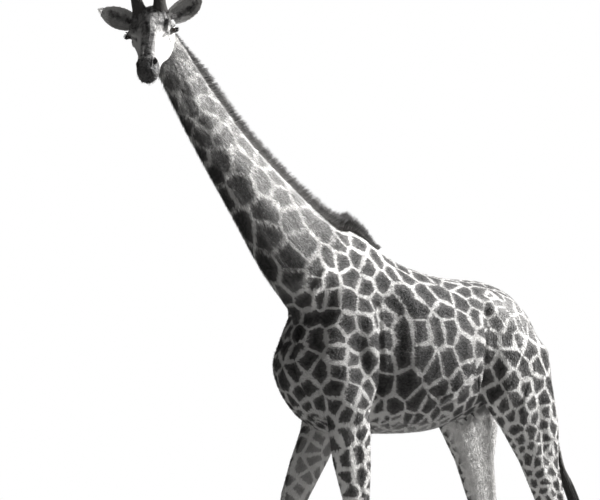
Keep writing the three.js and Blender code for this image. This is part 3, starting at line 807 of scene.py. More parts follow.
# ------------------------------------------------------------------ where the skin's points lie
class Chart:
    """For the finished skin: each point's region, its place along and round that region's
    middle line, and the lie of the hair."""

    def __init__(self, mesh):
        self.points = points_of(mesh)
        self.normals = normals_of(mesh)
        self.triangles = triangles_of(mesh)
        self.net = Net(mesh)
        self.shares = region_shares(self.points, shell_tree, shell_owner, self.net)
        self.region = self.shares.argmax(axis=1)
        self.share = {name: self.shares[:, i] for i, name in enumerate(FLESH)}
        self.centres = self.points[self.triangles].mean(axis=1)
        count = len(self.points)
        self.part = np.zeros(count)  # 0 at the start of the region's line, 1 at its end
        self.foot = np.zeros((count, 3))
        lie = np.zeros((count, 3))
        for i, name in enumerate(FLESH):
            mine = self.region == i
            along, foot, heading = nearest_on_line(self.points[mine], LINES[name])
            length = np.linalg.norm(np.diff(LINES[name], axis=0), axis=1).sum()
            self.part[mine] = along / length
            self.foot[mine] = foot
            if name == "trunk":
                heading = heading + np.array([0, 0.1, -0.55])
            lie[mine] = heading
        lie -= self.normals * (lie * self.normals).sum(axis=1)[:, None]
        lie = self.net.soften(lie, 0.9, 25)
        lie -= self.normals * (lie * self.normals).sum(axis=1)[:, None]
        self.lie = lie / np.maximum(np.linalg.norm(lie, axis=1), 1e-6)[:, None]

    def comb(self):
        """For each face corner: metres along and round the region, so that hair grain follows
        the body. Each face keeps to one region and one turn, so nothing wraps inside it."""
        corners = self.triangles.ravel()
        owner = np.repeat(self.region[self.triangles[:, 0]], 3)
        out = np.zeros((len(corners), 3))
        for i, name in enumerate(FLESH):
            mine = owner == i
            p = self.points[corners[mine]]
            along, foot, heading = nearest_on_line(p, LINES[name])
            side = np.array([1.0, 0, 0])
            up = np.cross(heading, side)
            up /= np.maximum(np.linalg.norm(up, axis=1), 1e-6)[:, None]
            q = p - foot
            angle = np.arctan2(q @ side, (q * up).sum(axis=1)).reshape(-1, 3)
            angle = angle + 2 * np.pi * np.round((angle[:, :1] - angle) / (2 * np.pi))
            radius = np.repeat(np.linalg.norm(q, axis=1).reshape(-1, 3).mean(axis=1), 3)
            around = angle.ravel() * np.maximum(0.05, np.round(radius / 0.05) * 0.05)
            lean = 0.45 if name == "trunk" else 0.0
            out[mine] = np.column_stack([along + lean * around, around - lean * along,
                                         np.full(len(along), i * 3.1)])
        return out


chart = Chart(skin.data)


# ------------------------------------------------------------------ markings
def marking_sizes():
    """For each point: how far apart patches lie, how much longer than wide they are, which
    way they stretch, half the width of the pale line between them, and how strong they are."""
    x, y, z = chart.points.T
    x, y = np.abs(x - MIDDLE_X), y - MIDDLE_Y
    s, part, lie = chart.share, chart.part, chart.lie
    legs = sum(s[name] for name in LEGS)
    ears = s["ear_left"] + s["ear_right"]
    down = np.zeros_like(lie)
    down[:, 2] = -1
    down -= chart.normals * (down * chart.normals).sum(axis=1)[:, None]
    back = ramp(z, 2.34, 2.54) * ramp(y, -0.25, 0.05)
    belly = ramp(-z, -1.90, -1.80)
    brisket = ramp(-y, 0.58, 0.70) * ramp(-z, -2.05, -1.85)
    rump = ramp(y, 0.36, 0.56)
    shoulder = ramp(-y, 0.15, 0.35)
    trunk_gap = 0.096 - 0.004 * shoulder
    trunk_gap = trunk_gap * (1 - 0.42 * back) * (1 - 0.34 * rump) * (1 - 0.44 * belly)
    trunk_gap = trunk_gap * (1 - 0.35 * brisket)
    flank = ramp(y, -0.24, -0.12) * ramp(-y, -0.34, -0.24) * ramp(z, 1.82, 1.92)
    trunk_long = 1.10 + 0.30 * flank * ramp(-z, -2.42, -2.25) + 0.35 * back + 0.15 * rump
    neck_gap = 0.060 + 0.066 * part**0.9
    throat = ramp(-(chart.points - chart.foot)[:, 1], 0.02, 0.08)
    neck_gap = neck_gap * (1 + 0.16 * throat)
    leg_gap = 0.092 - 0.034 * ramp(-z, -2.05, -1.55) - 0.012 * ramp(-z, -1.3, -0.9)
    fore = s["leg_fore_left"] + s["leg_fore_right"]
    leg_gap = leg_gap + (0.024 * fore - 0.010) * ramp(-z, -2.0, -1.7)
    gap = s["trunk"] * trunk_gap + s["neck"] * neck_gap + legs * leg_gap
    gap += (s["head"] + ears) * 0.034 + s["tail"] * 0.045
    longer = s["trunk"] * trunk_long + s["neck"] * 1.32 + legs * 1.1
    longer += 1.0 - s["trunk"] - s["neck"] - legs
    stretch = lie * (s["neck"] + s["head"])[:, None] + down * (s["trunk"] * (1 - back))[:, None]
    along_back = lie * (s["trunk"] * back)[:, None]
    across = np.cross(lie, chart.normals) * legs[:, None]
    stretch = stretch + along_back + across * ramp(-z, -1.75, -1.5)[:, None]
    stretch = stretch + lie * (legs * ramp(z, 1.5, 1.75))[:, None]
    line = s["trunk"] * (0.0092 - 0.002 * back - 0.0032 * rump + 0.001 * belly)
    line += (s["neck"] * (0.0062 + 0.003 * part) + legs * 0.0094 + fore * 0.0030
             + (s["head"] + ears) * 0.012)
    line += s["tail"] * 0.012
    inner = np.zeros(len(x))
    for name in LEGS:
        side = 1 if name.endswith("left") else -1
        held = 0.45 if "fore" in name else 1.0
        inner += (held * s[name] * ramp(-chart.normals[:, 0] * side, 0.25, 0.8)
                  * ramp(-z, -1.95, -1.75))
    strong = 1 - 0.80 * inner
    strong = strong * (1 - legs * ramp(-z, -1.0, -0.45) * 0.75)
    strong = strong * (1 - s["head"]) * (1 - ears) * (1 - 0.6 * s["tail"])
    local = head_frame(chart.points)
    cheek = s["head"] * ramp(local[:, 1], 10, 90) * ramp(-local[:, 2], -20, 40)
    strong = strong + cheek * 0.35
    return gap, longer, stretch, line, np.clip(strong, 0, 1)


def stretched_gap(points, seeds, way, longer):
    """Squared distances from points to seeds, measured short along each seed's own way."""
    d2 = ((points[:, None, :] - seeds[None]) ** 2).sum(axis=2)
    run = points @ way.T - (seeds * way).sum(axis=1)[None]
    return d2 - (1 - 1 / longer[None] ** 2) * run**2


PATCH_TRIES = 26000  # places tried for the middles of patches
MOST_PATCHES = 4000
EVENING_SAMPLE = 24000  # points that say which way each middle moves
BLOCK = 3000  # points measured at a time, to save memory


def patch_seeds(gap, longer, way):
    """Middles of the patches: thrown at random no nearer than the wanted gap, then evened."""
    count = len(chart.points)
    tries = rng.permutation(count)[:PATCH_TRIES]
    chosen = np.zeros(0, int)
    taken = np.zeros((MOST_PATCHES, 3))
    used = 0
    for i in tries:
        d = taken[:used] - chart.points[i]
        run = d @ way[i]
        d2 = (d * d).sum(axis=1) - (1 - 1 / longer[i] ** 2) * run**2
        if used == 0 or d2.min() > (gap[i] * 0.80) ** 2:
            taken[used] = chart.points[i]
            chosen = np.append(chosen, i)
            used += 1
            if used == MOST_PATCHES:
                break
    sample = tries[:EVENING_SAMPLE]
    for _ in range(2):
        seeds = chart.points[chosen]
        nearest = np.zeros(len(sample), int)
        for start in range(0, len(sample), BLOCK):
            block = sample[start:start + BLOCK]
            d2 = stretched_gap(chart.points[block], seeds, way[chosen], longer[chosen])
            nearest[start:start + BLOCK] = (d2 / gap[chosen][None] ** 2).argmin(axis=1)
        total = np.bincount(nearest, minlength=len(chosen))
        moved = seeds.copy()
        for axis in range(3):
            mean = np.bincount(nearest, chart.points[sample][:, axis], len(chosen))
            moved[:, axis] = np.where(total > 0, mean / np.maximum(total, 1), seeds[:, axis])
        moved = seeds + 0.75 * (moved - seeds)
        chosen = np.array([point_tree.find(p)[1] for p in moved.tolist()])
    return np.unique(chosen)


def chance(low, high, salt):
    """A fixed random number from 0 to 1 for each pair of patches."""
    mix = np.sin(low * 12.9898 + high * 78.233 + salt * 37.719) * 43758.5453
    return mix - np.floor(mix)


def joined_patches(count, best):
    """Some neighbouring patches run together. Each patch has one partner at most."""
    partner = np.full(count, -1)
    pairs = np.unique(np.sort(best[:, :2], axis=1), axis=0)
    for low, high in pairs[chance(pairs[:, 0], pairs[:, 1], 2) < 0.045]:
        if partner[low] < 0 and partner[high] < 0:
            partner[low], partner[high] = high, low
    return partner


def spots(gap, longer, way, chosen):
    """For each face corner, its signed distances to the three borders between the face's three
    nearest patches. They are straight over a face, so borders stay sharp on a coarse mesh."""
    seeds = chart.points[chosen]
    tree = KDTree(len(seeds))
    for i, p in enumerate(seeds.tolist()):
        tree.insert(p, i)
    tree.balance()
    near = np.array([[hit[1] for hit in tree.find_n(c, 7)] for c in chart.centres.tolist()])
    seed_long, seed_way = longer[chosen], way[chosen]

    def measured(points, which):
        d = points - seeds[which]
        run = (d * seed_way[which]).sum(axis=-1)
        return (d * d).sum(axis=-1) - (1 - 1 / seed_long[which] ** 2) * run**2

    d2 = measured(chart.centres[:, None, :], near)
    order = np.argsort(d2, axis=1)[:, :3]
    best = np.take_along_axis(near, order, axis=1)
    corner = chart.points[chart.triangles]
    d2 = [measured(corner, best[:, k][:, None]) for k in range(3)]
    borders = []
    for first, second in ((0, 1), (0, 2), (1, 2)):
        a, b = best[:, first], best[:, second]
        apart = seeds[a] - seeds[b]
        run = (apart * (seed_way[a] + seed_way[b]) / 2).sum(axis=1)
        shorten = 1 - 1 / ((seed_long[a] + seed_long[b]) / 2) ** 2
        slope = np.sqrt(np.maximum(((apart - (shorten * run)[:, None] * seed_way[a]) ** 2)
                                   .sum(axis=1), 1e-8))
        low, high = np.minimum(a, b), np.maximum(a, b)
        thinner = 0.78 + 1.0 * chance(low, high, 1) ** 2.5
        borders.append((d2[second] - d2[first]) / (2 * slope[:, None]) * thinner[:, None])
    ab, ac, bc = borders
    partner = joined_patches(len(seeds), best)
    first, second, third = best.T
    m_ab = np.where((ac.mean(axis=1) > bc.mean(axis=1))[:, None], ac, bc)
    m_ac = np.where((ab.mean(axis=1) > -bc.mean(axis=1))[:, None], ab, -bc)
    m_bc = np.where((ab.mean(axis=1) < ac.mean(axis=1))[:, None], ab, ac)
    for one, other, m in ((first, second, m_ab), (first, third, m_ac), (second, third, m_bc)):
        same = partner[one] == other
        ab[same], ac[same], bc[same] = 1.0, m[same], m[same]
    return np.stack([ab, ac, bc], axis=2).reshape(-1, 3)


point_tree = KDTree(len(chart.points))
for number, place in enumerate(chart.points.tolist()):
    point_tree.insert(place, number)
point_tree.balance()
gap, longer, way, line_half, strength = marking_sizes()
way = unit(way)
patches = patch_seeds(gap, longer, way)
corner_spots = spots(gap, longer, way, patches)
corner_comb = chart.comb()


# ------------------------------------------------------------------ tone of the face and feet
class Brush:
    """Paints a value from 0 to 1 over the skin's points, in soft strokes."""

    def __init__(self):
        self.value = np.zeros(len(chart.points))

    def stroke(self, path, width, strong=1.0, level=1.0):
        width = width / 1000
        path = np.asarray(path, float)
        if len(path) > 1:
            length = np.linalg.norm(np.diff(path, axis=0), axis=1).sum()
            path = curve_through(path, max(2, int(length / (width * 0.4)) + 2))
        low, high = path.min(axis=0) - width, path.max(axis=0) + width
        inside = np.where(((chart.points > low) & (chart.points < high)).all(axis=1))[0]
        if not len(inside):
            return
        gap2 = ((chart.points[inside][:, None] - path[None]) ** 2).sum(axis=2).min(axis=1)
        fall = np.clip(1 - gap2 / width**2, 0, 1) ** 1.2 * strong
        self.value[inside] += fall * (level - self.value[inside])

    def cover(self, value):
        """Paints the whole skin wherever this is stronger than what is there."""
        self.value = np.maximum(self.value, value)


dark = Brush()
pale = Brush()


def paint_face():
    """Dark muzzle, bridge and forehead; pale nostril rims, cheeks and chin. Painted shade darkens
    the lids round the eyes and the crease before each eye, and the dark wedge down the nose's ridge
    is dark hair and painted shade together.
    """
    local = head_frame(chart.points)
    near = chart.share["head"] > 0.2
    x, y, z = np.abs(local[:, 0]), local[:, 1], local[:, 2]
    muzzle = ramp(-y, 268, 325) * ramp(z, -86, -62) * near
    muzzle = np.maximum(muzzle, ramp(-y, 355, 380) * near)
    dark.cover(muzzle * 0.92)
    bridge = near * ramp(-x, -46, -26) * ramp(-y, -40, 40) * ramp(z, -6, 16)
    dark.cover(bridge * 0.76)
    forehead = near * ramp(y, -110, -20) * ramp(z, 30, 62)
    dark.cover(forehead * 0.74)
    # The wedge down the ridge of the nose is partly dark hair and partly painted shade of the
    # ridge's shaded side.
    wedge = near * ramp(-x, -22, -8) * ramp(y, -340, -290) * ramp(z, 4, 22)
    dark.cover(wedge * 0.93)
    for side in (LEFT, RIGHT):
        def at(*points):
            return [of_head(p, side) for p in points]

        # Painted shade: the lids round each eye are darkened for the shade of the lids and lashes,
        # and the crease before the eye is drawn dark.
        dark.stroke([of_head(EYE_AT, side)], 44, 1.0, 0.95)
        dark.stroke(at((64, -84, 22), (78, -66, 24), (92, -46, 22)), 13, 0.85)
        dark.stroke(at((60, -90, 62), (74, -40, 70), (84, 20, 76)), 44, 0.20)
        dark.stroke(at((108, 44, 44), (104, 76, 20)), 44, 0.42)
        dark.stroke(at((37, -352, -1), (41, -330, 8), (45, -305, 16)), 10, 1.0)
        pale.stroke(at((28, -350, 6), (27, -328, 18), (34, -300, 24)), 9, 1.0)
        pale.stroke(at((44, -354, -12), (54, -332, -8), (55, -308, 4)), 9, 0.9)
        pale.stroke(at((98, -48, -8), (114, -16, -16), (118, 16, -14)), 9, 0.7)
        pale.stroke(at((84, -40, -40), (90, 20, -70), (70, -120, -60)), 60, 0.4)
        pale.stroke(at((50, -240, -80), (40, -330, -92)), 30, 0.8)
        dark.stroke(at((48, 88, 92), (58, 100, 110)), 40, 0.35)


def paint_ears():
    """Dark backs and a dark band inside, with pale edges towards the tip."""
    for name, side in (("ear_left", LEFT), ("ear_right", RIGHT)):
        share = chart.share[name]
        mouth = HEAD_TURN @ unit(np.array([[0.15 * side, -0.78, 0.62]]))[0]
        inward = ramp(chart.normals @ mouth, 0.1, 0.5) * share
        axis = HEAD_TURN @ unit(np.array([[0.84 * side, 0.18, 0.42]]))[0]
        across = np.cross(axis, mouth)
        offset = (chart.points - LINES[name][0]) @ across
        band = np.exp(-(((offset - 0.006) / 0.027) ** 2)) * ramp(-chart.part, -0.95, -0.70)
        dark.cover(inward * band * 0.84)
        dark.cover(inward * 0.34)
        dark.cover(share * (1 - inward) * 0.62)
        tip = inward * ramp(np.abs(offset), 0.024, 0.036) * ramp(chart.part, 0.55, 0.75)
        pale.cover(tip * 0.7)


def paint_body():
    """Pale throat, nape and belly; darker teats and feet. Painted light pales the neck's upper and
    outer faces and the hip tops, and painted shade darkens the flank and shoulder below the back
    and the top of the back.
    """
    x, y, z = chart.points.T
    x, y = np.abs(x - MIDDLE_X), y - MIDDLE_Y
    for side in (LEFT, RIGHT):
        for teat in (0.43, 0.50):
            dark.stroke([body(0.045, teat, 1.80, side)], 60, 0.9)
    # Painted light: the neck's upper and outer faces and the hip tops, which face the lamps, are
    # made paler by how far they face upwards.
    up = ramp(chart.normals[:, 2], -0.25, 0.35)
    lit_slope = ramp(chart.normals[:, 2], -0.60, 0.15)
    neck_painted_light = chart.share["neck"] * lit_slope * ramp(-chart.part, -0.98, -0.75)
    pale.cover(0.37 * neck_painted_light)
    nape = chart.share["neck"] * ramp(-chart.part, -0.22, -0.06)
    pale.cover(0.46 * nape)
    # Long pale and dark locks run from the jaw down the throat.
    for side in (1, -1):
        for angle in (62, 86, 110, 134):
            pale.stroke([clay.on("neck", place, (angle + 15 * place) * side)
                         for place in (0.25, 0.7, 1.15, 1.6)], 13, 0.75)
            dark.stroke([clay.on("neck", place, (angle + 12 + 15 * place) * side)
                         for place in (0.35, 0.8, 1.2)], 11, 0.45)
    # Painted shade: the flank and shoulder below the back are darkened.
    side = chart.share["trunk"] * ramp(-z, -2.56, -2.36) * ramp(-y, -0.50, -0.25)
    dark.cover(0.20 * side)
    # Painted light: the upward-facing tops of the hip and rump are made paler.
    hip_tops_painted_light = chart.share["trunk"] * ramp(y, 0.30, 0.55) * up
    pale.cover(0.30 * hip_tops_painted_light * ramp(-z, -2.50, -2.40))
    # Painted shade: the top of the back, which the key lamp lights strongly, is darkened.
    top = chart.share["trunk"] * ramp(z, 2.44, 2.54) * ramp(y, -0.10, 0.15) * ramp(-y, -0.80, -0.65)
    dark.cover(0.24 * top)
    under = chart.share["trunk"] * ramp(-chart.normals[:, 2], 0.75, 0.95) * ramp(y, -0.35, -0.1)
    pale.cover(0.45 * under)
    for name in LEGS:
        share = chart.share[name]
        foot = share * ramp(-z, -0.22, -0.13)
        dark.cover(foot * 0.30)


paint_face()
paint_ears()
paint_body()

mesh = skin.data
store(mesh, "spots", corner_spots, "CORNER")
store(mesh, "comb", corner_comb, "CORNER")
points_tone = np.column_stack([strength, line_half * 10, dark.value])
store(mesh, "tone", points_tone)
store(mesh, "pale", pale.value)


# ------------------------------------------------------------------ materials
class Wire:
    """A node's output. Arithmetic on it adds Math nodes."""

    def __init__(self, shader, socket):
        self.shader = shader
        self.socket = socket

    def _math(self, operation, *values):
        return self.shader.node("ShaderNodeMath", {"operation": operation},
                                dict(enumerate(values)))

    def __add__(self, other):
        return self._math("ADD", self, other)

    __radd__ = __add__

    def __sub__(self, other):
        return self._math("SUBTRACT", self, other)

    def __rsub__(self, other):
        return self._math("SUBTRACT", other, self)

    def __mul__(self, other):
        return self._math("MULTIPLY", self, other)

    __rmul__ = __mul__

    def __neg__(self):
        return self * -1

    def __pow__(self, other):
        return self._math("POWER", self, other)

    def least(self, other):
        return self._math("MINIMUM", self, other)

    def most(self, other):
        return self._math("MAXIMUM", self, other)

    def rise(self, low, high):
        """0 below low, 1 above high, smooth between."""
        return self.shader.node("ShaderNodeMapRange", {"interpolation_type": "SMOOTHSTEP"},
                                {"Value": self, "From Min": low, "From Max": high})


class Shader:
    """A material and its nodes."""

    def __init__(self, name):
        self.material = bpy.data.materials.new(name)
        self.material.use_nodes = True
        self.tree = self.material.node_tree
        self.tree.nodes.clear()
        self.surface = self.tree.nodes.new("ShaderNodeBsdfPrincipled")
        output = self.tree.nodes.new("ShaderNodeOutputMaterial")
        self.tree.links.new(self.surface.outputs[0], output.inputs["Surface"])

    def node(self, kind, settings=None, inputs=None, output=0):
        node = self.tree.nodes.new(kind)
        for key, value in (settings or {}).items():
            setattr(node, key, value)
        for key, value in (inputs or {}).items():
            self.feed(node.inputs[key], value)
        return Wire(self, node.outputs[output])

    def feed(self, socket, value):
        if isinstance(value, Wire):
            self.tree.links.new(value.socket, socket)
        elif isinstance(value, (tuple, list)) and len(socket.default_value) == 4:
            socket.default_value = (*value, 1)
        else:
            socket.default_value = value

    def attribute(self, name, output="Vector"):
        return self.node("ShaderNodeAttribute", {"attribute_name": name}, output=output)

    def parts(self, vector):
        split = self.tree.nodes.new("ShaderNodeSeparateXYZ")
        self.feed(split.inputs[0], vector)
        return [Wire(self, out) for out in split.outputs]

    def join(self, x, y, z):
        return self.node("ShaderNodeCombineXYZ", {}, {0: x, 1: y, 2: z})

    def place(self):
        return self.node("ShaderNodeTexCoord", output="Object")

    def noise(self, where, scale, detail=2.0, rough=0.5):
        return self.node("ShaderNodeTexNoise", {},
                         {"Vector": where, "Scale": scale, "Detail": detail, "Roughness": rough})

    def stretch(self, where, x, y, z):
        return self.node("ShaderNodeMapping", {}, {"Vector": where, "Scale": (x, y, z)})

    def mix(self, share, first, second):
        return self.node("ShaderNodeMix", {"data_type": "RGBA", "clamp_factor": True},
                         {0: share, 6: first, 7: second}, output=2)

    def bump(self, height, depth, normal=None):
        inputs = {"Height": height, "Strength": 1.0, "Distance": depth}
        if normal:
            inputs["Normal"] = normal
        return self.node("ShaderNodeBump", {}, inputs)

    def finish(self, **inputs):
        for key, value in inputs.items():
            self.feed(self.surface.inputs[key.replace("_", " ")], value)
        return self.material


PALE_HAIR = (0.66, 0.65, 0.635)
PALE_SHADE = (0.42, 0.41, 0.40)
PATCH_HAIR = (0.080, 0.077, 0.075)
PATCH_DEEP = (0.004, 0.0038, 0.0036)
BLACK_HAIR = (0.012, 0.011, 0.011)


def coat_colour(s, grain):
    """The giraffe's markings. grain is hair-scale noise that frays the patches' borders."""
    where = s.place()
    ab, ac, bc = s.parts(s.attribute("spots"))
    strong, line, dark_tone = s.parts(s.attribute("tone"))
    pale_tone = s.attribute("pale", "Fac")
    inside_a = ab.least(ac)
    inside_b = (-ab).least(bc)
    inside_c = -(ac.most(bc))
    edge = inside_a.most(inside_b).most(inside_c)
    wander = s.noise(where, 16.0, 2.0) - 0.5
    ragged = s.noise(where, 100.0, 3.0, 0.6) - 0.5
    edge = edge + wander * 0.026 + ragged * 0.018 + (grain - 0.5) * 0.022
    line = line * 0.1
    patch = (edge - line).rise(-0.0034, 0.0036) * strong
    ground = s.mix(s.noise(where, 9.0, 3.0), PALE_HAIR, PALE_SHADE)
    depth = (edge - line).rise(0.002, 0.034)
    mottle = s.noise(where, 70.0, 3.0, 0.7).rise(0.36, 0.64)
    inner = s.mix(depth * 0.8 + (mottle - 0.5) * 0.55, PATCH_HAIR, PATCH_DEEP)
    colour = s.mix(patch, ground, inner)
    # pale_tone brings the coat's paler places and the painted light on the neck's upper and outer
    # faces and on the hip tops.
    colour = s.mix(pale_tone * 0.8, colour, PALE_HAIR)
    # dark_tone brings the dark hair of the face, ears, teats and feet and the painted shade round
    # the eyes, down the nose's ridge, on the flank and shoulder below the back and on the top of
    # the back.
    blotch = (s.noise(where, 38.0, 4.0, 0.65) - 0.5) * 8.0 * dark_tone * (1 - dark_tone)
    blotch = blotch * dark_tone.rise(0.22, 0.5)
    colour = s.mix(dark_tone + blotch, colour, BLACK_HAIR)
    lighter = (grain - 0.5) * 0.22
    return s.mix(lighter.most(0.0), colour, (0.5, 0.49, 0.475))


def skin_material():
    s = Shader("short coat")
    along, around, region = s.parts(s.attribute("comb"))
    hair = s.noise(s.join(along * 90, around * 420, region), 1.0, 2.0)
    clump = s.noise(s.join(along * 34, around * 110, region + 5), 1.0, 2.0)
    colour = coat_colour(s, hair * 0.6 + clump * 0.4)
    bare = s.parts(s.attribute("tone"))[2].rise(0.78, 0.9)
    pores = s.noise(s.place(), 420.0, 2.0)
    hair = hair * (1 - bare) + pores * bare
    clump = clump * (1 - bare) + s.noise(s.place(), 90.0, 2.0) * bare
    fine = s.bump(hair, 0.003)
    bump = s.bump(clump, 0.008, fine)
    rough = 0.62 + hair * 0.2 - bare * 0.22
    return s.finish(Base_Color=colour, Roughness=rough, Normal=bump, Sheen_Weight=0.02,
                    Sheen_Roughness=0.5, Specular_IOR_Level=0.3)


skin.data.materials.clear()
skin.data.materials.append(skin_material())


# ------------------------------------------------------------------ hair as thin solid locks
def lock_mesh(layers):
    """Closed three-sided locks from layers of points: three to a lock in each, one in the last.
    Returns points, triangles and, for each point, its lock and its share of the way up."""
    points = np.concatenate(layers, axis=1)
    count, per = points.shape[:2]
    rings = len(layers) - 1
    faces = [(0, 2, 1)]
    for k in range(rings - 1):
        for j in range(3):
            a, b = 3 * k + j, 3 * k + (j + 1) % 3
            faces += [(a, b, b + 3), (a, b + 3, a + 3)]
    last = 3 * (rings - 1)
    faces += [(last + j, last + (j + 1) % 3, per - 1) for j in range(3)]
    triangles = (np.array(faces)[None] + (np.arange(count) * per)[:, None, None]).reshape(-1, 3)
    share = np.append(np.repeat(np.arange(rings) / rings, 3), 1.0)
    return points.reshape(-1, 3), triangles, np.repeat(np.arange(count), per), np.tile(share, count)


def lock_ring(centre, side, other, width, corners):
    """A layer of three points to a lock, on two directions square to it."""
    return np.stack([centre + side * (width * x)[:, None] + other * (width * y)[:, None]
                     for x, y in corners], axis=1)


def locks(roots, headings, normals, lengths, widths, rings, lift, flat=0.45, waver=0.0):
    """Many tapering locks. Each starts at its root, rises by its lift in radians and bends
    along its heading. flat is how thick a lock is for its width, waver how unruly."""
    count = len(roots)
    headings = unit(headings)
    side = unit(np.cross(headings, normals))
    normals = unit(np.cross(side, headings))
    bend = rng.normal(0, 1, (count, 2)) * waver
    lengths, widths = np.broadcast_to(lengths, count), np.broadcast_to(widths, count)
    lift = np.broadcast_to(lift, count)
    centre = roots - normals * (widths * 0.35)[:, None]
    way = headings * np.cos(lift)[:, None] + normals * np.sin(lift)[:, None]
    corners = [(x, y * flat * 2) for x, y in ((-0.5, -0.12), (0.5, -0.12), (0.0, 0.5))]
    layers = []
    for k in range(rings + 1):
        if k:
            centre = centre + way * (lengths / rings)[:, None]
            flatter = headings * 0.8 + side * (bend[:, 0] * 0.5)[:, None]
            way = unit(way + flatter * (0.9 / rings) + normals * (bend[:, 1] / rings)[:, None])
        width = widths * (1 - (k / rings) ** 1.6 * 0.75)
        layers.append(lock_ring(centre, side, normals, width, corners) if k < rings
                      else centre[:, None, :])
    return lock_mesh(layers)


def lock_piece(name, made, finish, roots, region):
    """A piece of locks, with an unwrap that its colours can be baked onto."""
    points, triangles, owner, share = made
    obj = piece_from(name, points, triangles)
    store(obj.data, "tip", share)
    obj.data.materials.append(finish)
    region = np.broadcast_to(region, len(roots))
    bake_map(obj, roots, region, owner, triangles, len(points) // len(roots))
    return obj, owner


# The coat: tufts rooted evenly over the skin, with the markings of the place they stand on.
COAT_TUFTS = 254000


def root_faces(count):
    """A face of the skin for each tuft: more on the head and feet, none on the bare lips."""
    corner = chart.points[chart.triangles]
    area = np.linalg.norm(np.cross(corner[:, 1] - corner[:, 0], corner[:, 2] - corner[:, 0]),
                          axis=1)
    on_head = chart.region[chart.triangles[:, 0]] == HEAD
    wanted = area * np.where(on_head, 2.6, 1.0)
    wanted = wanted * np.where(chart.centres[:, 2] < 0.5, 1.5, 1.0)
    local = head_frame(chart.centres)
    bare = on_head & (local[:, 1] < -340)
    bare |= near_any(chart.centres, [of_head(EYE_AT, side) for side in (LEFT, RIGHT)], 0.030)
    wanted = np.where(bare, 0, wanted)
    steps = np.cumsum(wanted)
    picks = (np.arange(count) + rng.random(count)) / count * steps[-1]
    return np.searchsorted(steps, picks)


def coat_pieces(finish):
    faces = root_faces(COAT_TUFTS)
    weights = rng.dirichlet((1.0, 1.0, 1.0), len(faces))
    corner = chart.triangles[faces]

    def blend(values):
        return (values[corner] * weights[:, :, None]).sum(axis=1)

    roots = blend(chart.points)
    normals = unit(blend(chart.normals))
    heading = blend(chart.lie) + rng.normal(0, 0.16, roots.shape)
    heading -= normals * (heading * normals).sum(axis=1)[:, None]
    share = blend(chart.shares)
    of = {name: share[:, i] for i, name in enumerate(FLESH)}
    legs = sum(of[name] for name in LEGS)
    ears = of["ear_left"] + of["ear_right"]
    local = head_frame(roots)
    throat = of["neck"] * ramp(-local[:, 1], -330, -150) * ramp(-local[:, 2], 40, 110)
    jaw = of["head"] * ramp(-local[:, 2], 90, 130) * ramp(local[:, 1], -180, -60)
    under = ramp(-normals[:, 2], 0.5, 0.9) * of["trunk"]
    length = 0.0150 * of["trunk"] + 0.0145 * of["neck"] + 0.007 * of["head"] + 0.009 * ears
    length += legs * (0.009 + 0.006 * ramp(roots[:, 2], 0.4, 1.6)) + 0.024 * of["tail"]
    length = length * (1 + 1.3 * np.clip(throat + jaw, 0, 1) + 0.25 * under)
    length = length * rng.uniform(0.75, 1.25, len(roots))
    width = 0.0033 * (of["trunk"] + of["neck"]) + 0.0016 * of["head"] + 0.0020 * ears
    width += 0.0028 * legs + 0.004 * of["tail"]
    width = width * rng.uniform(0.8, 1.2, len(roots))
    lift = 0.16 + 0.12 * np.clip(throat + jaw, 0, 1) + rng.uniform(-0.04, 0.22, len(roots))
    region = chart.region[corner[:, 0]]

    def grown_on(*names):
        return np.isin(region, [FLESH.index(name) for name in names])

    side_left = roots[:, 0] > MIDDLE_X
    groups = {
        "coat_trunk_left": grown_on("trunk") & side_left,
        "coat_trunk_right": grown_on("trunk") & ~side_left,
        "coat_neck": grown_on("neck"),
        "coat_head": grown_on("head", *EARS),
        "coat_forelegs": grown_on("leg_fore_left", "leg_fore_right"),
        "coat_hind_left": grown_on("leg_hind_left"),
        "coat_hind_right": grown_on("leg_hind_right"),
        "coat_tail": grown_on("tail"),
    }
    rows = {"spots": (corner_spots.reshape(-1, 3, 3)[faces] * weights[:, :, None]).sum(axis=1),
            "comb": (corner_comb.reshape(-1, 3, 3)[faces] * weights[:, :, None]).sum(axis=1),
            "tone": blend(points_tone)}
    pales = (pale.value[corner] * weights).sum(axis=1)
    for name, mine in groups.items():
        made = locks(roots[mine], heading[mine], normals[mine], length[mine], width[mine], 1,
                     lift[mine], flat=0.35)
        obj, owner = lock_piece(name, made, finish, roots[mine], region[mine])
        for field, values in rows.items():
            store(obj.data, field, values[mine][owner])
        store(obj.data, "pale", pales[mine][owner])
        settle(obj, "coat")


def bake_map(obj, roots, region, owner, triangles, per):
    """The unwrap of the skin round each region's middle line, one band to a region, with every
    tuft a small patch at its root's place."""
    bands = np.unique(region)
    place = np.zeros((len(roots), 2))
    for row, number in enumerate(bands):
        mine = region == number
        line = LINES[FLESH[number]]
        along, foot, heading = nearest_on_line(roots[mine], line)
        length = np.linalg.norm(np.diff(line, axis=0), axis=1).sum()
        up = unit(np.cross(heading, np.array([1.0, 0, 0])))
        q = roots[mine] - foot
        angle = np.arctan2(q[:, 0], (q * up).sum(axis=1)) / (2 * np.pi) + 0.5
        place[mine, 0] = 0.01 + 0.98 * along / length
        place[mine, 1] = (row + 0.02 + 0.96 * angle) / len(bands)
    corner_of_lock = np.arange(per)
    turn = corner_of_lock / per * 2 * np.pi
    patch = 0.0015 * np.column_stack([np.cos(turn), np.sin(turn)])
    flat = np.tile(patch, (len(roots), 1)) + place[owner]
    layer = obj.data.uv_layers.new(name="OFBake")
    layer.data.foreach_set("uv", flat[triangles.ravel()].astype(np.float32).ravel())


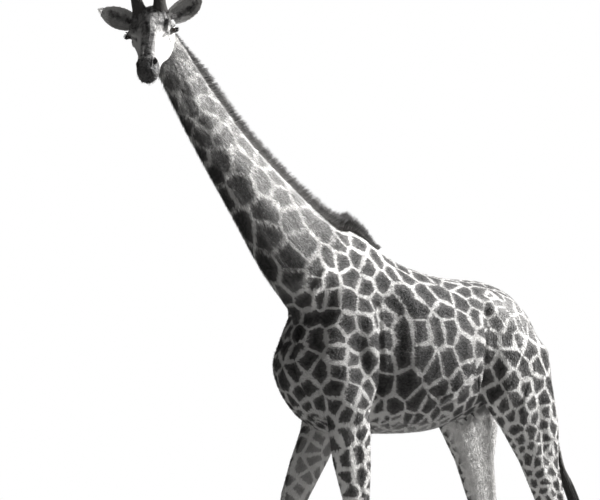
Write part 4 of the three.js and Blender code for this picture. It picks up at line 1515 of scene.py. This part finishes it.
def tuft_material():
    s = Shader("coat tufts")
    tip = s.attribute("tip", "Fac")
    along, around, region = s.parts(s.attribute("comb"))
    hair = s.noise(s.join(along * 90, around * 420, region), 1.0, 2.0)
    strand = s.noise(s.stretch(s.place(), 260, 260, 260), 1.0, 1.0)
    colour = coat_colour(s, hair)
    colour = s.mix(tip.rise(0.35, 1.0) * 0.06, colour, (0.42, 0.41, 0.40))
    colour = s.mix((strand - 0.5).most(0.0) * 0.25, colour, (0.05, 0.049, 0.048))
    return s.finish(Base_Color=colour, Roughness=0.6 + strand * 0.15,
                    Normal=s.bump(strand, 0.003), Specular_IOR_Level=0.3)


def hair_material(name, root, middle, tips, band_scale):
    """Long hair: root, middle and tip colours, streaked from lock to lock."""
    s = Shader(name)
    tip = s.attribute("tip", "Fac")
    where = s.place()
    streak = s.noise(s.stretch(where, 240, 240, 60), 1.0, 2.0)
    band = s.noise(where, band_scale, 2.0)
    colour = s.mix(tip.rise(0.05, 0.55), root, middle)
    colour = s.mix((tip + (band - 0.5) * 0.9).rise(0.45, 0.95), colour, tips)
    colour = s.mix((streak - 0.5).most(0.0) * 1.2, colour, (0.13, 0.125, 0.12))
    return s.finish(Base_Color=colour, Roughness=0.55 + streak * 0.2,
                    Normal=s.bump(streak, 0.001), Specular_IOR_Level=0.3)


mane_finish = hair_material("mane hair", (0.13, 0.125, 0.12), (0.035, 0.033, 0.031),
                            (0.010, 0.009, 0.009), 14.0)
black_finish = hair_material("black hair", (0.03, 0.028, 0.026), (0.012, 0.011, 0.010),
                             (0.008, 0.008, 0.007), 9.0)
skin_tree = BVHTree.FromPolygons(chart.points.tolist(), chart.triangles.tolist())


def crest_line(count):
    """Points along the top of the neck, from behind the ears to the withers."""
    top = []
    for place in np.linspace(0.15, 5.9, 24):
        middle, run = joint_at("neck", place)
        hit = skin_tree.ray_cast(Vector(middle), upward(run))
        if hit[0]:
            top.append(np.array(hit[0]))
    for y in (-0.42, -0.34, -0.26, -0.19, -0.13):
        top.append(np.array(skin_tree.ray_cast(Vector(body(0, y, 3.2)), Vector((0, 0, -1)))[0]))
    top.sort(key=lambda p: p[1])
    top = np.array(top)
    top[:, 0] = MIDDLE_X
    keep = np.concatenate([[True], np.linalg.norm(np.diff(top, axis=0), axis=1) > 0.02])
    return curve_through(top[keep], count)


def mane():
    """Upright hair along the crest of the neck."""
    count = 5200
    crest = crest_line(count)
    run = unit(np.gradient(crest, axis=0))
    up = unit(np.cross(run, np.array([1.0, 0, 0])))
    up = np.where(up[:, 2:] < 0, -up, up)
    t = np.linspace(0, 1, count)
    offset = rng.uniform(-1, 1, count)
    clump = np.sin(t * 330) * 0.5 + np.sin(t * 171 + 1.0) * 0.5
    side = np.array([1.0, 0, 0])
    heading = up + run * (0.44 + 0.06 * clump)[:, None] + side * (offset * 0.16)[:, None]
    heading += rng.normal(0, 0.06, heading.shape)
    # Each lock ends about where the mane's solid does.
    shell_points, shell_triangles, _ = flesh_shell(["mane"], {"mane": 0.0})
    shell = BVHTree.FromPolygons(shell_points.tolist(), shell_triangles.tolist())
    height = np.full(count, np.nan)
    for i in range(0, count, 20):
        hit = shell.ray_cast(Vector(crest[i] + up[i] * 0.25), Vector(-up[i]), 0.25)
        if hit[0]:
            height[i] = 0.25 - hit[3]
    known = np.where(~np.isnan(height))[0]
    height = np.interp(np.arange(count), known, height[known])
    height = np.convolve(np.pad(height, 80, "edge"), np.ones(161) / 161, "valid")
    height = np.clip(height + 0.010, 0.020, 0.13) * (1 + 0.06 * clump)
    length = height * (1.08 - 0.16 * np.abs(offset)) * rng.uniform(0.86, 1.10, count)
    roots = crest + side * (offset * 0.017)[:, None] - up * 0.006
    made = locks(roots, heading, run, length, 0.0055, 3, 0.0, flat=0.5, waver=0.12)
    obj, _ = lock_piece("mane_hair", made, mane_finish, roots, FLESH.index("neck"))
    settle(obj, "hair", "mane")


def tail_tuft():
    """Long locks that start and end at places spread along the tuft's line."""
    path = body_line((0.014, 1.075, 1.66), (0.016, 1.101, 1.548), (0.020, 1.135, 1.46),
                     (0.026, 1.190, 1.33), (0.032, 1.235, 1.17), (0.036, 1.262, 1.01),
                     (0.037, 1.268, 0.965))
    count = 420
    line = curve_through(path, 61)
    start = rng.uniform(0.0, 0.30, count)
    end = np.clip(start + rng.uniform(0.45, 0.75, count), 0, 1)
    angle = rng.uniform(0, 2 * np.pi, count)
    radius = np.sqrt(rng.random(count))
    rings = 9
    centre = []
    for k in range(rings + 1):
        t = start + (end - start) * k / rings
        spread = radius * np.interp(t, (0, 0.2, 0.35, 0.6, 0.85, 1),
                                    (0.012, 0.016, 0.030, 0.034, 0.024, 0.008))
        i = np.clip((t * 60).astype(int), 0, 59)
        middle = line[i] + (line[i + 1] - line[i]) * (t * 60 - i)[:, None]
        twist = angle + 0.5 * t
        out = np.column_stack([np.cos(twist) * spread, np.sin(twist) * spread, 0 * spread])
        centre.append(middle + out)
    centre = np.array(centre)
    width = 0.0085 * rng.uniform(0.7, 1.3, count)
    outward = np.column_stack([np.cos(angle), np.sin(angle), 0 * angle])
    layers = []
    for k in range(rings):
        way = unit(centre[k + 1] - centre[max(k - 1, 0)])
        side = unit(np.cross(way, outward))
        layers.append(lock_ring(centre[k], side, np.cross(side, way), width * (1 - 0.7 * k / rings),
                                ((-0.5, -0.2), (0.5, -0.2), (0, 0.4))))
    made = lock_mesh(layers + [centre[rings][:, None, :]])
    obj, _ = lock_piece("tail_hair", made, black_finish, centre[0], FLESH.index("tail"))
    settle(obj, "hair", "tail_tuft")


def lashes():
    """Long lashes on the upper lids and short ones on the lower."""
    roots, headings, normals, lengths = [], [], [], []
    for side in (LEFT, RIGHT):
        fore, up, out = eye_axes(side)
        centre = of_head(EYE_AT, side)
        for upper, count, long in ((True, 60, 0.021), (False, 26, 0.008)):
            for a in np.linspace(-0.78, 0.84, count):
                open_share = 1 - (a / 0.93) ** 2
                b = 0.36 * open_share**0.65 + 0.07 if upper else -0.50 * open_share**0.75 - 0.05
                a = a + rng.normal(0, 0.012)
                c = math.sqrt(max(0.05, 1 - a * a - b * b))
                way = fore * a + up * b + out * c
                roots.append(centre + way * (EYE_RADIUS + 3.0) / 1000)
                lean = -0.12 if upper else -0.35
                rise = lean + 0.1 * rng.random()
                headings.append(out * 0.9 + fore * (0.55 * a + 0.1) + up * rise)
                normals.append(up)
                lengths.append(long * (0.75 + 0.25 * open_share) * rng.uniform(0.85, 1.1))
    made = locks(np.array(roots), np.array(headings), np.array(normals), np.array(lengths),
                 0.0016, 4, 0.0, flat=0.5, waver=0.1)
    obj, _ = lock_piece("eyelashes", made, black_finish, np.array(roots), HEAD)
    settle(obj, "hair")


def bristles():
    """Stiff hairs on the lips and chin."""
    roots, headings, normals = [], [], []
    for _ in range(150):
        x, y, z = rng.uniform(-48, 48), rng.uniform(-400, -330), rng.uniform(-95, -35)
        hit = skin_tree.find_nearest(Vector(of_head((x, y, z))))
        roots.append(np.array(hit[0]))
        normals.append(np.array(hit[1]))
        down = HEAD_TURN @ np.array([0, -0.5, -0.9])
        headings.append(np.array(hit[1]) * 0.9 + down * 0.5 + rng.normal(0, 0.15, 3))
    headings, normals = np.array(headings), np.array(normals)
    made = locks(np.array(roots), headings, np.cross(headings, [0.2, 0.3, 1.0]),
                 rng.uniform(0.006, 0.014, len(roots)), 0.0011, 3, 0.0, flat=0.5, waver=0.2)
    obj, _ = lock_piece("lip_bristles", made, black_finish, np.array(roots), HEAD)
    settle(obj, "hair")


# ------------------------------------------------------------------ eyes, horns and hooves
def eye_material():
    s = Shader("eye")
    a, b, _ = s.parts(s.attribute("gaze"))
    radius = (a * a + b * b) ** 0.5
    ray = s.noise(s.join(a * 9, b * 9, radius * 1.2), 2.0, 3.0)
    pupil = ((a * 2.4) ** 2.0 + (b * 4.6) ** 2.0) ** 0.5
    iris = s.mix(ray, (0.010, 0.006, 0.004), (0.026, 0.015, 0.009))
    iris = s.mix((pupil + ray * 0.1).rise(1.12, 0.98), iris, (0.002, 0.002, 0.002))
    white = s.mix(ray, (0.045, 0.036, 0.030), (0.020, 0.016, 0.014))
    colour = s.mix(radius.rise(0.60, 0.66), iris, white)
    return s.finish(Base_Color=colour, Roughness=0.12 + ray * 0.04, Coat_Weight=1.0,
                    Coat_Roughness=0.02, Specular_IOR_Level=0.6)


def eyes():
    """Balls with a swollen cornea. gaze keeps each point's place, with the pupil at +Z."""
    finish = eye_material()
    for name, side in (("eye_left", LEFT), ("eye_right", RIGHT)):
        fore, up, out = eye_axes(side)
        centre = of_head(EYE_AT, side)
        deselect()
        bpy.ops.mesh.primitive_uv_sphere_add(segments=48, ring_count=32, radius=1)
        obj = bpy.context.object
        obj.name = name + "_ball"
        p = points_of(obj.data)
        cornea = 1 + 0.045 * ramp(p[:, 2], 0.70, 0.95)
        place = (p[:, :1] * fore + p[:, 1:2] * up + p[:, 2:] * out) * cornea[:, None]
        set_points(obj.data, centre + place * EYE_RADIUS / 1000)
        store(obj.data, "gaze", p)
        edit(obj, lambda: bpy.ops.mesh.normals_make_consistent(inside=False))
        bpy.ops.object.shade_smooth()
        obj.data.materials.clear()
        obj.data.materials.append(finish)
        settle(obj, "eye", name)


SMALL_GRAIN = 0.004


def remeshed(name, nodes, grain, passes):
    """A closed, softened copy of some CAD nodes."""
    points, triangles, _ = flesh_shell(nodes, dict.fromkeys(nodes, 0.0))
    obj = piece_from(name, points, triangles)
    remesh(obj, grain)
    soft = Net(obj.data)
    p = points_of(obj.data)
    once = soft.soften(p, 0.6, passes)
    set_points(obj.data, once + soft.soften(p - once, 0.6, passes))
    obj.data.polygons.foreach_set("use_smooth", np.ones(len(obj.data.polygons), bool))
    return obj


def horn_material():
    s = Shader("horn hair")
    tip = s.attribute("tip", "Fac")
    where = s.place()
    grain = s.noise(s.stretch(where, 260, 260, 40), 1.0, 2.0)
    patchy = s.noise(where, 30.0, 3.0)
    colour = s.mix(grain, (0.11, 0.105, 0.10), (0.055, 0.05, 0.048))
    colour = s.mix((tip + (patchy - 0.5) * 0.3).rise(0.55, 0.75), colour, (0.016, 0.015, 0.014))
    return s.finish(Base_Color=colour, Roughness=0.6 + grain * 0.2,
                    Normal=s.bump(grain, 0.002), Specular_IOR_Level=0.3)


def horns():
    finish = horn_material()
    for name, side in (("horn_left", LEFT), ("horn_right", RIGHT)):
        obj = remeshed(name + "_bone", [name], SMALL_GRAIN, 6)
        p = points_of(obj.data)
        base, tip = of_head((50, 90, 88), side), of_head((70, 138, 246), side)
        axis = tip - base
        share = (p - base) @ axis / (axis @ axis)
        store(obj.data, "tip", share)
        obj.data.materials.append(finish)
        settle(obj, "horn", name)
        # Short hair lies up the horn, with a longer dark brush round its knob.
        normals = normals_of(obj.data)
        picks = rng.permutation(len(p))[:2600]
        picks = picks[share[picks] < 0.93]
        up = np.tile(unit(axis[None])[0], (len(picks), 1)) + rng.normal(0, 0.12, (len(picks), 3))
        up -= normals[picks] * (up * normals[picks]).sum(axis=1)[:, None]
        long = 0.011 + 0.014 * ramp(share[picks], 0.62, 0.8)
        made = locks(p[picks], up, normals[picks], long, 0.0026, 2, 0.22, flat=0.4)
        hair, owner = lock_piece(name + "_hair", made, finish, p[picks], HEAD)
        tips = share[picks][owner].astype(np.float32)
        hair.data.attributes["tip"].data.foreach_set("value", tips)
        settle(hair, "horn")


def hoof_material():
    s = Shader("hoof horn")
    where = s.place()
    x, y, z = s.parts(where)
    wave = s.noise(where, 12.0, 2.0)
    growth = s.noise(s.join(x * 4, y * 4, (z + wave * 0.006) * 260), 1.0, 2.0)
    grain = s.noise(s.join(x * 700, y * 700, z * 30), 1.0, 2.0)
    dust = s.noise(where, 40.0, 4.0)
    colour = s.mix(growth, (0.030, 0.027, 0.025), (0.085, 0.078, 0.070))
    colour = s.mix((dust - 0.45) * 1.4, colour, (0.20, 0.19, 0.175))
    colour = s.mix(z.rise(0.030, 0.0) * 0.6, colour, (0.16, 0.15, 0.14))
    height = growth * 0.7 + grain * 0.3
    return s.finish(Base_Color=colour, Roughness=0.45 + dust * 0.3,
                    Normal=s.bump(height, 0.0018), Specular_IOR_Level=0.45)


def hooves():
    """One piece for the two claws of a foot, with flat soles."""
    finish = hoof_material()
    for foot in ("fore_left", "fore_right", "hind_left", "hind_right"):
        nodes = [f"hoof_{foot}_a", f"hoof_{foot}_b"]
        obj = remeshed("claws_" + foot, nodes, SMALL_GRAIN, 16)
        p = points_of(obj.data)
        p[:, 2] = np.where(p[:, 2] < 0.003, 0.0, p[:, 2])
        set_points(obj.data, p)
        obj.data.materials.append(finish)
        settle(obj, "hoof", *nodes)


mane()
tail_tuft()
lashes()
bristles()
eyes()
horns()
hooves()
coat_pieces(tuft_material())


# ------------------------------------------------------------------ camera, floor and light
def floor_material():
    s = Shader("pale floor")
    where = s.place()
    cloud = s.noise(where, 0.8, 4.0)
    grit = s.noise(where, 60.0, 3.0)
    colour = s.mix(cloud * 0.7 + grit * 0.3, (0.35, 0.35, 0.348), (0.42, 0.42, 0.417))
    return s.finish(Base_Color=colour, Roughness=0.7 + grit * 0.2, Normal=s.bump(grit, 0.001))


def camera():
    data = bpy.data.cameras.new("camera")
    data.sensor_width = 36
    data.lens = 161.5
    data.clip_end = 100
    obj = placed("camera", data)
    obj.location = (11.677, -7.980, 1.80)
    obj.rotation_euler = (math.radians(90 + 3.62), 0, math.radians(57))
    bpy.context.scene.camera = obj


def light(name, kind, power, place, target, **settings):
    data = bpy.data.lights.new(name, kind)
    data.energy = power
    for setting, value in settings.items():
        setattr(data, setting, value)
    obj = placed(name, data)
    obj.location = place
    aim = Vector(target) - Vector(place)
    obj.rotation_euler = aim.to_track_quat("-Z", "Y").to_euler()


def room():
    """A white backdrop that gives less light than it shows, so that shadows keep their depth."""
    world = bpy.data.worlds.new("room")
    bpy.context.scene.world = world
    world.use_nodes = True
    nodes = world.node_tree.nodes
    given, seen = nodes["Background"], nodes.new("ShaderNodeBackground")
    for background, strength in ((given, 0.20), (seen, 1.0)):
        background.inputs["Color"].default_value = (1, 1, 1, 1)
        background.inputs["Strength"].default_value = strength
    rays, either = nodes.new("ShaderNodeLightPath"), nodes.new("ShaderNodeMixShader")
    for source, target in ((rays.outputs["Is Camera Ray"], either.inputs[0]),
                           (given.outputs[0], either.inputs[1]),
                           (seen.outputs[0], either.inputs[2]),
                           (either.outputs[0], nodes["World Output"].inputs[0])):
        world.node_tree.links.new(source, target)


camera()
light("key", "AREA", 5600, (3.5, 8.35, 9.5), (0, 0, 2.3), shape="DISK", size=1.6)
light("neck light", "SPOT", 4800, (4.2, 2.3, 6.1), (0, -0.75, 3.15), spot_size=0.30,
      spot_blend=1.0, shadow_soft_size=0.35)
light("front", "AREA", 40, (9.0, -9.0, 3.0), (0, 0, 2.2), shape="DISK", size=6.0)
room()
bpy.context.scene.view_settings.view_transform = "Standard"
deselect()
bpy.ops.mesh.primitive_plane_add(size=8, location=(0, 0, 0))
floor = bpy.context.object
floor.name = "floor"
floor.data.materials.append(floor_material())
settle(skin, "coat", *FLESH)
